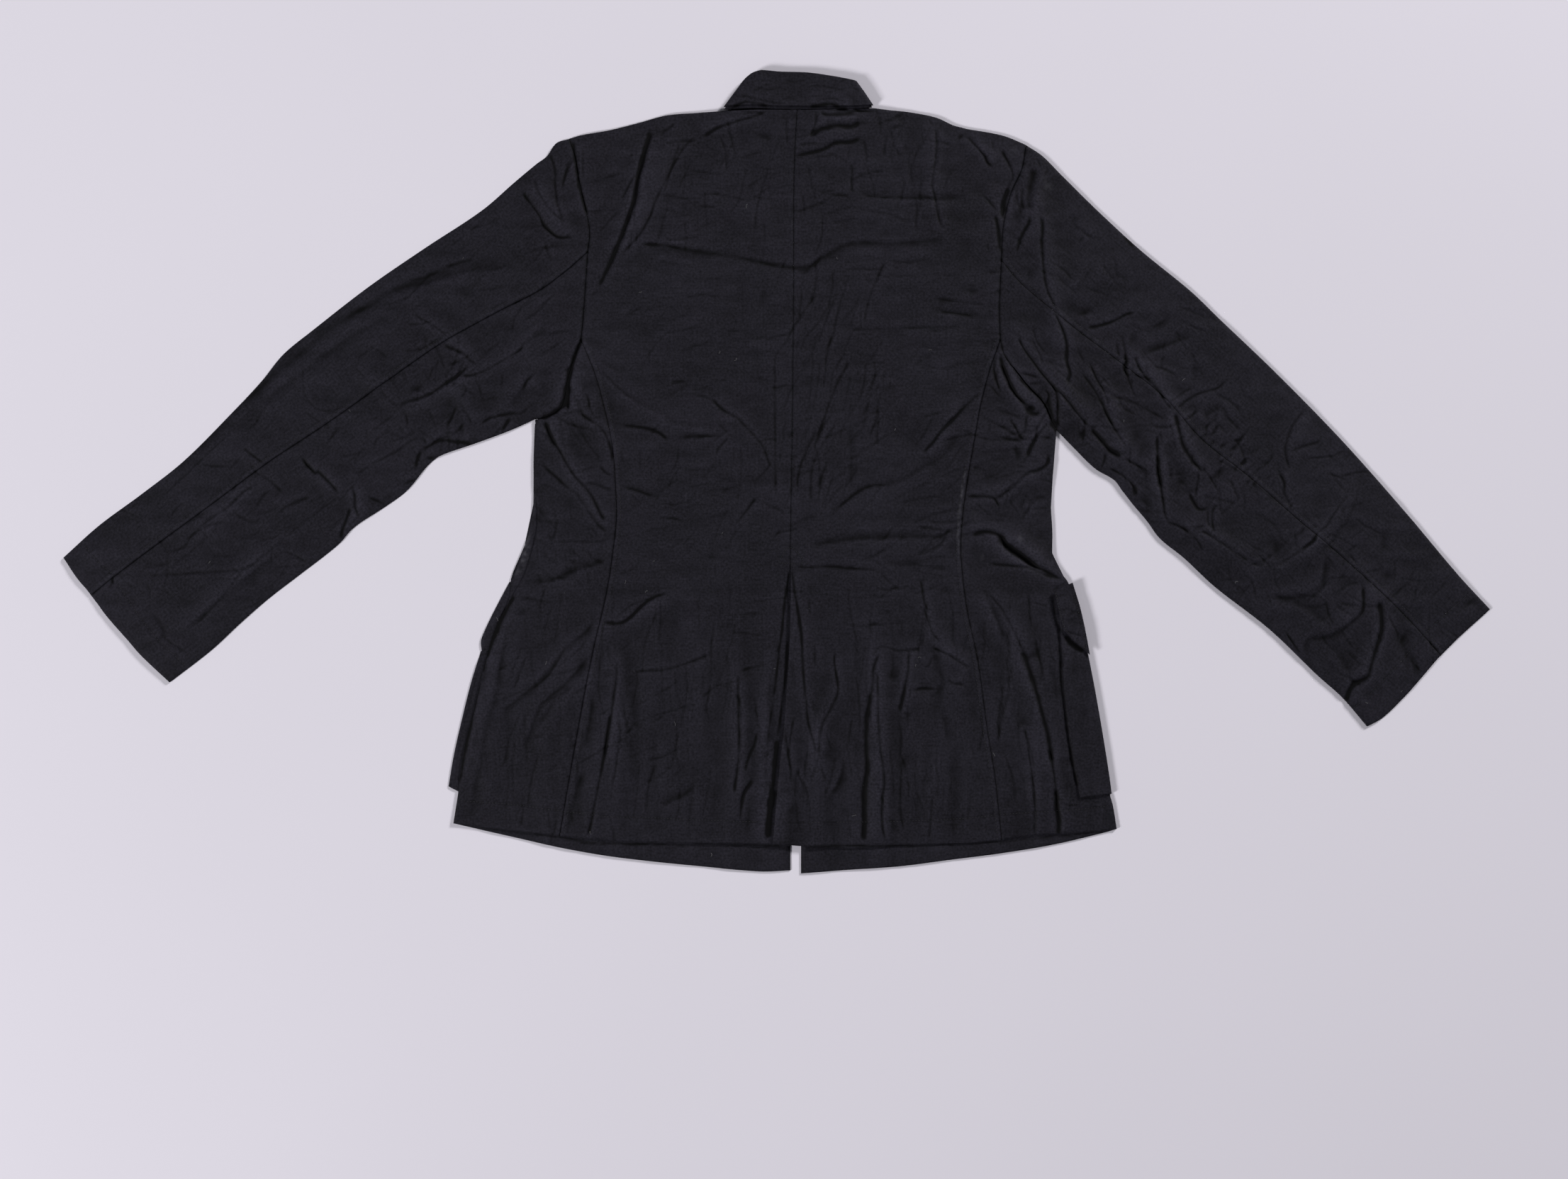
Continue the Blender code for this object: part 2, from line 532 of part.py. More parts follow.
class Sleeve:
    """A two-piece sleeve pressed flat, with the places of both its layers."""

    def __init__(self, outer, elbow, inner, armhole, cuff):
        cap, back, under, gusset = armhole
        self.outer = stepped(outer, SLEEVE_ROWS)
        self.elbow = stepped(elbow, SLEEVE_ROWS)
        self.inner = border((gusset, GUSSET_STEPS), (inner, SLEEVE_ROWS - GUSSET_STEPS))
        self.upper_top = patch(
            self.elbow, self.outer, stepped(cap, CAP_STEPS)[::-1], stepped(cuff[0], CAP_STEPS)[::-1]
        )
        start = border((back, ARMHOLE_STEPS), (under, UNDERARM_STEPS))
        self.upper_under = eased(patch(self.elbow, self.inner, start, stepped(cuff[1], len(start) - 1)))
        self.lower = patch(self.outer, self.inner, lower_armhole(armhole), lower_cuff(cuff))

    def band(self, name, upper, fold_line, lower):
        """Make a piece that turns round one edge of the sleeve onto its underside.

        Both faces run from the elbow seam over the fold line to the forearm seam.
        """
        inward = drawn_in(fold_line, upper[:, -2], 1.0) - fold_line
        inward_below = inward.copy()
        for row in (0, -1):
            inward[row] = direction(upper[row, -1], upper[row, -2])
            inward_below[row] = direction(lower[row, 0], lower[row, 1])
        upper = inset(upper, near=HALF_SEAM, start=HALF_SEAM)
        lower = inset(lower, far=HALF_SEAM, start=HALF_SEAM)
        nose = fold_line + inward * HALF_SEAM
        nose[0] = upper[0, -1] + inward[0] * HALF_SEAM
        nose_below = nose.copy()
        nose_below[0] = lower[0, 0] + inward_below[0] * HALF_SEAM
        upper[:, -1] = nose + inward * UPPER_START
        lower_outer, lower_inner = lower.copy(), lower.copy()
        lower_outer[:, 0] = nose_below + inward_below * LOWER_START
        lower_inner[:, 0] = nose_below + inward_below * LOWER_START_INSIDE
        tops = LAY.tops(upper)
        outer_face = np.concatenate(
            [raised(upper, tops), raised(nose[:, None], NOSE_HEIGHT), raised(lower_outer, 0.0)], axis=1
        )
        inside_nose = (nose + inward * NOSE_WALL)[:, None]
        inner_face = np.concatenate(
            [raised(upper, beneath(tops)), raised(inside_nose, NOSE_HEIGHT), raised(lower_inner, WALL)], axis=1
        )
        return wall(name, TWILL, outer_face, inner_face)

    def make(self, side):
        """Make the top sleeve and the under sleeve."""
        seam = LOWER_TOP_STEPS
        self.band("sleeve_top_" + side, self.upper_top, self.outer, self.lower[:, : seam + 1])
        self.band("sleeve_under_" + side, self.upper_under, self.inner, self.lower[:, : seam - 1 : -1])


def lower_armhole(armhole):
    """Places of the underside's armhole, from the shoulder to the underarm's corner."""
    run = np.concatenate([smooth_run(table) for table in armhole[:3]])
    reach = np.concatenate([[0.0], np.cumsum(np.linalg.norm(np.diff(run, axis=0), axis=1))])
    forearm = FOREARM_SHARE * reach[-1]
    wanted = np.concatenate([
        np.linspace(0.0, forearm, LOWER_TOP_STEPS + 1),
        np.linspace(forearm, reach[-1], LOWER_UNDER_STEPS + 1)[1:],
    ])
    return np.stack([np.interp(wanted, reach, run[:, axis]) for axis in (0, 1)], axis=1)


def lower_cuff(cuff):
    """Places of the underside's cuff, from the outer edge to the inner one."""
    run = np.concatenate([smooth_run(cuff[0]), smooth_run(cuff[1])])
    reach = np.concatenate([[0.0], np.cumsum(np.linalg.norm(np.diff(run, axis=0), axis=1))])
    wanted = np.linspace(0.0, reach[-1], LOWER_TOP_STEPS + LOWER_UNDER_STEPS + 1)
    return np.stack([np.interp(wanted, reach, run[:, axis]) for axis in (0, 1)], axis=1)


def make_front(name, edge, neck, shoulder, armhole, side, hem):
    """Make a front, flat on the plane, from its neck round its armhole, side and hem."""
    shoulder_run = stepped(shoulder, BACK_COLUMNS // 2)
    neck_end = shoulder_run[0]
    armhole_run = np.concatenate([lower_armhole(armhole), stepped(armhole[3], GUSSET_STEPS)[1:]])
    centre = np.array([0.0, 0.0])
    armhole_run = drawn_in(armhole_run, np.broadcast_to(centre, armhole_run.shape), HALF_SEAM)
    side_run = stepped(side, SIDE_ROWS)[1:]
    hem_run = stepped(hem, BACK_COLUMNS)[::-1][1:]
    neck_run = np.array([(edge, FRONT_NECK_UP), (neck, FRONT_NECK_UP)])
    shoulder_run = np.concatenate([[neck_end], shoulder_run[1:-1]])
    outline = np.concatenate([neck_run, shoulder_run, armhole_run, side_run, hem_run])
    return flat_piece(name, TWILL, outline, WALL)


def make_collar_ring(name, finish, stations):
    """Make a band that runs round the flattened neck ring.

    Each station is a row across the band: its share of the collar's height, and the
    distances of its outer and its inner face from the ring's middle plane.
    """
    plan = patch(
        border((COLLAR_LEFT_END, 20)), border((COLLAR_RIGHT_END, 20)),
        stepped(COLLAR_FREE_EDGE, COLLAR_STEPS), stepped(COLLAR_ROLL, COLLAR_STEPS),
    )
    faces = []
    for side in (1, 2):
        rows = []
        for station in stations:
            share = station[0] if side == 1 or len(station) == 3 else station[3]
            line = plan_row(plan, share)
            rows.append(ring_row(line, station[side]))
        faces.append(np.array(rows))
    return wall(name, finish, faces[0], faces[1])


def plan_row(plan, share):
    """Places across the collar at a share of its height."""
    position = share * (plan.shape[0] - 1)
    low = max(0, min(int(position), plan.shape[0] - 2))
    part = position - low
    return plan[low] * (1 - part) + plan[low + 1] * part


def ring_row(line, away):
    """Points of one row round the ring, from one front end to the other."""
    left_out = line[0] - line[1]
    left_out /= np.linalg.norm(left_out)
    right_out = line[-1] - line[-2]
    right_out /= np.linalg.norm(right_out)
    middle = COLLAR_FALL_OUT
    points = []
    reach = line[:, 0]
    for across in np.linspace(FRONT_EDGE_LEFT, reach[0], COLLAR_FRONT_STEPS + 1):
        points.append((across, np.interp(across, reach, line[:, 1]), middle - away))
    for turn in (-0.7, 0.0, 0.7):
        out = np.sqrt(1.0 - turn ** 2) * away
        points.append((*(line[0] + left_out * out), middle + turn * away))
    for place in line:
        points.append((*place, middle + away))
    for turn in (0.7, 0.0, -0.7):
        out = np.sqrt(1.0 - turn ** 2) * away
        points.append((*(line[-1] + right_out * out), middle + turn * away))
    for across in np.linspace(reach[-1], FRONT_EDGE_RIGHT, COLLAR_FRONT_STEPS + 1):
        points.append((across, np.interp(across, reach, line[:, 1]), middle - away))
    return points


def make_collar():
    """Make the turned-down fall and the stand that it covers."""
    fall, under, out, rim = COLLAR_FALL_OUT, COLLAR_FALL_IN, COLLAR_STAND_OUT, COLLAR_STAND_IN
    roll = (out + under) / 2.0
    make_collar_ring("collar_fall", TWILL_FOLDED, [
        (0.0, fall, under),
        (0.25, fall, under),
        (0.5, fall, under),
        (0.75, fall, under),
        (0.9, fall, under),
        (0.97, fall - 0.5, under),
        (1.0, roll, roll, 0.95),
        (0.97, rim + 0.3, out, 0.93),
        (0.9, rim, out),
        (0.77, rim, out),
    ])
    make_collar_ring("collar_stand", TWILL, [
        (-0.08, rim, out),
        (0.25, rim, out),
        (0.5, rim, out),
        (0.75, rim, out),
    ])


def make_right_pocket():
    """Make the right pocket's edge and its flap, which lie round the side onto the back."""
    columns, rows = 3, 14
    inner = stepped(POCKET_RIGHT_INNER, rows)
    outer = stepped(POCKET_RIGHT_OUTER, rows)
    start = np.linspace(inner[0], outer[0], columns + 1)
    end = np.linspace(inner[-1], outer[-1], columns + 1)
    grid = patch(inner, outer, start, end)
    inward = grid[:, -2] - grid[:, -1]
    inward /= np.linalg.norm(inward, axis=1)[:, None]
    grid[:, -1] += inward * UPPER_START
    floor = LAY.tops(grid) + LAYER_GAP
    floor = np.maximum(floor, EDGE_TOP + LAYER_GAP)
    tops = floor + FOLDED_WALL
    lip_wall = WALL + 0.1
    drop = [(outer, EDGE_TOP + 1.0), (outer, 0.0)]
    drop_inside = [(outer + inward * lip_wall, EDGE_TOP + 0.6), (outer + inward * lip_wall, 0.0)]
    outer_face = np.concatenate([raised(grid, tops)] + [raised(run[:, None], up) for run, up in drop], axis=1)
    inner_face = np.concatenate(
        [raised(grid, floor)] + [raised(run[:, None], up) for run, up in drop_inside], axis=1
    )
    wall("pocket_right", TWILL_FOLDED, outer_face, inner_face)
    flap_rows, flap_columns = 6, 3
    flap = patch(
        stepped(FLAP_RIGHT_INNER, flap_rows), stepped(FLAP_RIGHT_OUTER, flap_rows),
        stepped(FLAP_RIGHT_TOP, flap_columns), stepped(FLAP_RIGHT_END, flap_columns),
    )
    seat = LAY.tops(flap) + FOLDED_WALL + 3.0 * LAYER_GAP
    wall("pocket_flap_right", TWILL_FOLDED, raised(flap, seat + FOLDED_WALL), raised(flap, seat))


def make_left_pocket():
    """Make the left pocket's bellows edge and its flap, which lie out past the side."""
    side = stepped(LEFT_FRONT_SIDE, SIDE_ROWS)
    clear = drawn_in(side, side - np.array([100.0, 0.0]), SEAM_GAP)
    inner = clear[(side[:, 1] < -178.0) & (side[:, 1] > -316.0)][::-1]
    outer = np.concatenate([stepped(POCKET_LEFT_OUTER, 10), stepped(POCKET_LEFT_BOTTOM, 2)[1:]])
    flat_piece("pocket_left", TWILL_FOLDED, np.concatenate([outer, inner]), WALL)
    inner = clear[(side[:, 1] < -108.0) & (side[:, 1] > -176.0)][::-1]
    flat_piece("pocket_flap_left", TWILL_FOLDED, np.concatenate([stepped(FLAP_LEFT_OUTER, 6), inner]), WALL)


def centre_on_box():
    """Shift every piece so that the origin is under the middle of the whole garment."""
    pieces = [item for item in bpy.context.scene.objects if item.type == "MESH"]
    points = np.array([vert.co[:] for piece in pieces for vert in piece.data.vertices])
    low, high = points.min(axis=0), points.max(axis=0)
    shift = -(low + high) / 2.0
    shift[2] = -low[2]
    for piece in pieces:
        for vert in piece.data.vertices:
            vert.co = [value + move for value, move in zip(vert.co, shift)]


def main():
    """Build the jacket."""
    for item in list(bpy.data.objects):
        bpy.data.objects.remove(item, do_unlink=True)
    left_armhole = (LEFT_ARMHOLE_CAP, LEFT_ARMHOLE_BACK, LEFT_ARMHOLE_UNDER, LEFT_GUSSET)
    right_armhole = (RIGHT_ARMHOLE_CAP, RIGHT_ARMHOLE_BACK, RIGHT_ARMHOLE_UNDER, RIGHT_GUSSET)
    make_back_left()
    make_back_right()
    make_side("side_left", LEFT_PRINCESS, LEFT_SIDE, LEFT_ARMHOLE_UNDER, LEFT_GUSSET, LEFT_SIDE_HEM)
    make_side("side_right", RIGHT_PRINCESS, RIGHT_SIDE, RIGHT_ARMHOLE_UNDER, RIGHT_GUSSET, RIGHT_SIDE_HEM)
    Sleeve(
        LEFT_SLEEVE_OUTER, LEFT_ELBOW, LEFT_SLEEVE_INNER, left_armhole, (LEFT_CUFF_OUTER, LEFT_CUFF_INNER)
    ).make("left")
    Sleeve(
        RIGHT_SLEEVE_OUTER, RIGHT_ELBOW, RIGHT_SLEEVE_INNER, right_armhole, (RIGHT_CUFF_OUTER, RIGHT_CUFF_INNER)
    ).make("right")
    make_front(
        "front_left", FRONT_EDGE_LEFT, -40.0, LEFT_SHOULDER, left_armhole, LEFT_FRONT_SIDE, LEFT_FRONT_HEM
    )
    make_front(
        "front_right", FRONT_EDGE_RIGHT, 85.0, RIGHT_SHOULDER, right_armhole, RIGHT_SIDE, RIGHT_FRONT_HEM
    )
    make_collar()
    make_right_pocket()
    make_left_pocket()
    centre_on_box()


main()
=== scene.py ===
"""A black uniform jacket laid flat on its front: its cloth, its sewing and the light on it.

The tables are in millimetres on the surface that the garment lies on, as across, up, across, up
and so on. Across grows from the wearer's left cuff to the right one, up grows from the hem to the
collar, and both are counted from the middle of the laid garment. Relief paints the lie of the
cloth over the whole garment, and each sewn piece then takes its heights from it, so that folds
run on across the seams.
"""
import logging
import math
from dataclasses import dataclass, field
from enum import Enum
from typing import Sequence

import bmesh
import bpy
import numpy as np
from mathutils import Matrix, Vector


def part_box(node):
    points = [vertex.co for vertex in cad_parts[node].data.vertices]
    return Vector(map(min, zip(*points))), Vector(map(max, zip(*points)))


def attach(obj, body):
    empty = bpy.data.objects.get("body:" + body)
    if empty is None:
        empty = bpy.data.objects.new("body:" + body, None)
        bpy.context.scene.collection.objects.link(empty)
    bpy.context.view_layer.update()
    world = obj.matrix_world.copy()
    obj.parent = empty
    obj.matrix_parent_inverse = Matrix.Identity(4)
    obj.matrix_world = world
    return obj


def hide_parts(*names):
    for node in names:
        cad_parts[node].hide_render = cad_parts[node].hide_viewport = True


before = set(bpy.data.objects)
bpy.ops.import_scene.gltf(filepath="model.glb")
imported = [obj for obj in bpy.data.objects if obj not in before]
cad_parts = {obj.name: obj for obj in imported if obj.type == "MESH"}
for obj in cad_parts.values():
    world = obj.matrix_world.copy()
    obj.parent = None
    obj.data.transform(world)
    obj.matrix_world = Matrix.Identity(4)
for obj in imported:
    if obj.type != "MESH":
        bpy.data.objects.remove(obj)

log = logging.getLogger("jacket")

Table = Sequence[float]
Tint = tuple[float, float, float, float]
Window = tuple[slice, slice]
Array = np.ndarray

MM = 0.001
WALL = 1.2
FOLDED_WALL = 2.0
LAYER_GAP = 0.3
HALF_SEAM = 0.16
INNER_FLOOR = WALL + LAYER_GAP
INNER_CEILING = WALL + 3.7
EDGE_TOP = INNER_FLOOR + WALL + 0.05
EDGE_RISE = 1.6
LOWEST_TOP = 2.1
HIGHEST_FOLD = 8.6
FLAP_SEAT = FOLDED_WALL + 3.0 * LAYER_GAP
FLAP_WALL = FOLDED_WALL - 0.3
VENT_TOP = -95.0
VENT_RAMP = 16.0
UNDERLAP = 18.0
UNDERLAP_TOP = VENT_TOP - 30.0
UNDERLAP_RAMP = 22.0
LAP_FLOOR = EDGE_TOP + 0.4
COARSE = 6
VIEW_MIDDLE = (7.2, -115.7)


@dataclass(frozen=True)
class Half:
    """Edges of one half of the garment, and its direction towards the middle: 1 or -1 across."""

    name: str
    neck: Table
    shoulder: Table
    cap: Table
    armhole_back: Table
    armhole_under: Table
    gusset: Table
    sleeve_outer: Table
    elbow: Table
    sleeve_inner: Table
    cuff_outer: Table
    cuff_inner: Table
    princess: Table
    side: Table
    front_side: Table
    side_hem: Table
    back_hem: Table
    front_hem: Table
    front_edge: float
    front_neck: float
    inward: float


LEFT = Half(
    name="left",
    neck=(20, 357, -7, 357, -53, 356),
    shoulder=(-53, 356, -77.5, 354.5, -109, 352, -137, 344.5, -165, 337.5, -193, 332.5, -205, 329),
    cap=(-205, 329, -199, 312, -194, 284, -187.5, 256, -184.5, 235, -186.5, 217),
    armhole_back=(-186.5, 217, -188.5, 186, -190.5, 158, -193, 130.5),
    armhole_under=(-193, 130.5, -200, 113, -204, 100, -207, 88, -209, 75, -212, 64),
    gusset=(-212, 64, -219, 58, -228, 54, -238.5, 52),
    sleeve_outer=(
        -205, 329, -217.5, 325, -227, 312, -237, 304.5, -258, 287, -291, 258.5, -347, 221.5, -403, 183, -459, 139.5,
        -487, 116.5, -508, 90.5, -536, 60.5, -585, 11.5, -627, -21.5, -669, -52.5, -704, -84,
    ),
    elbow=(
        -186.5, 217, -207, 199, -235, 178.5, -277, 157, -333, 125.5, -389, 86.5, -445, 47, -501, 10, -557, -31.5,
        -613, -72.5, -655, -104, -676, -121,
    ),
    sleeve_inner=(
        -238.5, 52, -263, 41, -298, 28, -333, 15.5, -344, 6.5, -364.5, -18, -389, -36, -417, -54.5, -432, -71,
        -473, -103, -501, -124.5, -529, -149, -557, -175, -599, -207.5,
    ),
    cuff_outer=(-704, -84, -690, -105, -676, -121),
    cuff_inner=(-676, -121, -662, -141, -641, -165, -627, -181, -599, -207.5),
    princess=(
        -193, 130.5, -179.5, 97.5, -170, 63, -162, 25.5, -159.5, -5.5, -158, -43, -161, -74, -167, -114.5, -182, -181,
        -195, -249, -208.5, -325.5, -214, -359,
    ),
    side=(
        -238.5, 52, -237, 38, -239, 11.5, -238.5, -16.5, -236, -37.5, -237, -58.5, -243, -83, -249, -100.5,
        -261, -122.5, -275.5, -149, -287, -184.5, -298, -231.5, -310, -280.5, -314, -314, -319, -346.5,
    ),
    front_side=(
        -238.5, 52, -240, 11.5, -240, -23.5, -242, -51.5, -249, -72.5, -255, -86.5, -262, -104, -264, -124,
        -274, -149, -285, -184.5, -296, -231.5, -308, -280.5, -312, -314, -319, -346.5,
    ),
    side_hem=(-214, -359, -258, -354, -319, -346.5),
    back_hem=(14, -369, -14, -368.5, -79, -367, -146, -364.5, -214, -359),
    front_hem=(
        13.5, -393, -17, -394, -79, -388.5, -124, -384, -168.5, -378.5, -213.5, -370.5, -258, -360.5, -302, -350.5,
        -319, -346.5,
    ),
    front_edge=13.5,
    front_neck=-40.0,
    inward=1.0,
)

RIGHT_SIDE: Table = (
    276, 41.5, 273, 3.5, 270.5, -28, 272, -58.5, 272.5, -88, 278, -97, 286.5, -107, 290, -116, 296.5, -140,
    301.8, -164, 305.5, -181, 312, -214.5, 319.5, -257.5, 326, -298.5, 328.5, -317, 332, -330, 335.5, -352,
)
RIGHT = Half(
    name="right",
    neck=(20, 357, 38, 357, 70, 358, 96, 359),
    shoulder=(96, 359, 112, 357, 129, 355.5, 157, 350, 178, 341, 213, 334.5, 227, 331, 246, 323),
    cap=(246, 323, 241.5, 298.5, 230.5, 274, 223.5, 242.5, 221.5, 209),
    armhole_back=(221.5, 209, 220.5, 186, 219.5, 158, 220.5, 130.5),
    armhole_under=(220.5, 130.5, 224, 116.5, 230.5, 106),
    gusset=(230.5, 106, 241, 92, 251.5, 80, 262, 69, 269, 55, 276, 41.5),
    sleeve_outer=(
        246, 323, 262, 312.5, 281, 293.5, 318, 257, 360, 218.5, 409, 178.5, 437, 151.5, 493, 98, 557, 32.5,
        620, -38.5, 673, -101.5, 704, -135,
    ),
    elbow=(
        221.5, 209, 241, 186, 269, 162, 297, 139.5, 339, 108, 381, 74.5, 419, 32.5, 467, -5.5, 512.5, -45.5, 566, -91,
        620, -142, 655, -180.5,
    ),
    sleeve_inner=(
        276, 41.5, 291.5, 25.5, 314, 3.5, 333, -8, 341, -18.5, 351.5, -32, 365, -48, 378, -65.5, 402, -85, 432, -113,
        486, -155, 533.5, -200.5, 558, -222.5, 582.5, -251,
    ),
    cuff_outer=(704, -135, 673, -163, 655, -180.5),
    cuff_inner=(655, -180.5, 633, -206.5, 620, -221, 598, -242, 582.5, -251),
    princess=(
        220.5, 130.5, 210, 100.5, 201, 66, 196, 38, 187, -15, 183, -46, 181.5, -77.5, 184, -109, 188.5, -140,
        198.5, -186.5, 207.5, -252.5, 215, -298.5, 222, -363,
    ),
    side=RIGHT_SIDE,
    front_side=RIGHT_SIDE,
    side_hem=(222, -363, 255.5, -358, 299, -355.5, 335.5, -352),
    back_hem=(-4, -366.5, 58, -371, 83.5, -371, 146, -367.5, 189, -366.5, 222, -363),
    front_hem=(24, -396, 69.5, -392.5, 120.5, -389, 171.5, -382.5, 222, -376, 273, -367.5, 324, -355.5, 335.5, -352),
    front_edge=24.0,
    front_neck=85.0,
    inward=-1.0,
)

CENTRE_SEAM: Table = (20, 357, 17, 298.5, 16.5, 174.5, 15.5, 65.5, 13.5, -74, 13.5, -95)
VENT_EDGE: Table = (13.5, -95, 13, -156, 10, -207, 7, -252.5, 3.5, -283.5, 0, -319, -4, -366.5)
COLLAR_FREE_EDGE: Table = (-48, 360.5, -25, 361.5, 3, 360.5, 38, 360.2, 73, 360.4, 91, 361.5)
COLLAR_ROLL: Table = (-21, 394.5, -15, 396, 3, 394.5, 31, 393.5, 59, 389.5, 74.5, 386.5)
COLLAR_LEFT_END: Table = (-48, 360.5, -35, 378.5, -28, 388, -21, 394.5)
COLLAR_RIGHT_END: Table = (91, 361.5, 83, 374, 74.5, 386.5)
POCKET_RIGHT_INNER: Table = (274, -122, 277.5, -131, 282.5, -201.5, 286, -245, 291.5, -283.5, 299, -321)
POCKET_RIGHT_OUTER: Table = (
    292, -116, 298.5, -140, 303.8, -164, 307.5, -181, 314, -214.5, 321.5, -257.5, 328, -298.5, 330.5, -317,
)
FLAP_RIGHT_TOP: Table = (273, -118, 282, -113, 291.5, -109)
FLAP_RIGHT_INNER: Table = (273, -118, 277.5, -135.5, 282.5, -156)
FLAP_RIGHT_OUTER: Table = (291.5, -109, 299.5, -135.5, 305, -161, 308.5, -180)
FLAP_RIGHT_END: Table = (282.5, -156, 295, -168.5, 308.5, -180)
POCKET_LEFT_OUTER: Table = (-292, -176.3, -301.5, -207, -311.5, -247, -319, -280.5, -324, -310)
FLAP_LEFT_OUTER: Table = (-264, -108.5, -279, -137, -289, -158, -292, -167, -291.3, -175.9)


@dataclass(frozen=True)
class Fold:
    """One broad fold: three places on its crest, its height there and its half width."""

    crest: Table
    height: float
    width: float


FOLDS: tuple[Fold, ...] = tuple(Fold(row[:6], *row[6:]) for row in (
    # Left shoulder and left back
    (-102, 333, -126, 277, -158, 214, 3.2, 16), (-12, 356, -45, 345, -77, 334, 1.5, 10),
    (-221, 47, -205, 8, -178, -45, 2.6, 12), (-196, 60, -174, 42, -162, 18, 1.8, 9),
    (-175, 106, -120, 58, -53, 44, 2, 12), (-53, 57, -29, 43, -18, 18, 1.5, 11),
    (-148, -143, -126, -135, -95, -115, 1.8, 10), (-165, -150, -214, -185, -249, -227, 2, 14),
    (-165, -188, -214, -227, -242, -258, 2, 14), (-157, -187, -159, -280, -164, -345, 2.4, 11),
    (-176, -265, -182, -304, -182, -355, 1.6, 10), (-39, -196, -37, -276, -43, -340, 2.2, 10),
    (-9, -185, -14, -276, -14, -360, 2.4, 9),
    # Right back and right shoulder
    (27, -164, 31, -237, 48, -304, 1.6, 10), (61, -209, 42, -257, 38, -297, 1.8, 9),
    (99, -184, 100, -257, 106, -368, 3.2, 13), (131, -173, 126, -203, 121, -232, 1.8, 9),
    (144, -128, 163, -170, 194, -192, 1.8, 10), (182, 74, 164, 39, 146, 18, 2, 13),
    (38, 333, 59, 342, 84, 344, 2, 10), (154, 350, 153, 284, 167, 228, 1.8, 11),
    (185, 333, 202, 318, 213, 302, 1.6, 9),
    # Right side panel
    (212, -125, 247, -202, 277, -355, 3.2, 13), (199, -121, 209, -143, 220, -164, 1.6, 9),
    (247, -252, 250, -296, 256, -357, 2, 9), (195, -26, 241, -7, 266, 12, 2.6, 12),
    (199, -62, 234, -76, 276, -100, 3.2, 14), (224, 106, 241, 74, 248, 53, 3, 12),
    (262, 60, 255, 43, 245, 18, 2.2, 9),
    # Left sleeve
    (-487, -65, -529, -101, -578, -148, 2.4, 13), (-419, -10, -413, -34, -424, -58, 2.6, 11),
    (-452, 3, -441, -10, -431, -24, 1.8, 10), (-417, 102, -396, 88, -375, 64, 1.8, 11),
    (-373, 64, -300, 92, -238, 132, 2.6, 14), (-326, 86, -310, 71, -299, 48, 2, 10),
    (-357, 156, -325, 133, -294, 106, 2, 11), (-235, 108, -256, 84, -277, 60, 2.2, 15),
    (-239, 295, -224, 256, -199, 233, 2.4, 11), (-504, -10, -525, -20, -564, -55, 1.8, 11),
    # Right sleeve
    (235, 135, 290, 71, 353, 8, 3.2, 14), (391, 64, 398, 32, 419, 1, 3.2, 12), (375, 39, 377, -3, 384, -48, 2.6, 11),
    (388, -48, 423, -62, 468, -90, 2.6, 12), (566, -17, 535, -62, 493, -94, 2.4, 13),
    (580, -104, 573, -136, 528, -157, 2.2, 14), (594, -129, 591, -171, 563, -216, 2.8, 13),
    (542, -94, 528, -115, 479, -129, 1.8, 14), (253, 302, 251, 249, 238, 218, 2.2, 12),
    (259, 253, 274, 158, 285, 85, 2.6, 13), (283, 170, 304, 189, 325, 207, 1.6, 13),
    (314, 95, 332, 60, 346, 18, 2.2, 10), (355, 116, 374, 88, 391, 60, 2.6, 11), (507, 18, 515, 40, 524, 60, 1.8, 12),
))


@dataclass(frozen=True)
class Form:
    """How a crease lies, in mm: its valley, the ridge beside it, its ends and how far it leans to the light."""

    depth: float
    valley: float
    ridge: float
    crown: float
    fade: float = 7.0
    lean: float = 0.0


class Press(Enum):
    """How hard a crease is pressed into the cloth."""

    HAIR = Form(0.32, 0.85, 0.10, 3.0)
    FAINT = Form(0.50, 1.0, 0.14, 3.5)
    FOLD = Form(0.78, 1.15, 0.27, 4.5)
    DEEP = Form(1.30, 1.5, 0.46, 6.0)
    GULF = Form(2.10, 2.8, 0.62, 8.0)
    PIT = Form(2.60, 5.2, 0.42, 9.0)
    SINK = Form(1.05, 4.4, 0.30, 10.0, 16.0, 0.45)
    SHADE = Form(0.72, 5.0, 0.20, 10.0, 18.0, 0.45)
    SOFT = Form(1.05, 8.0, 0.35, 15.0, 26.0, 0.45)


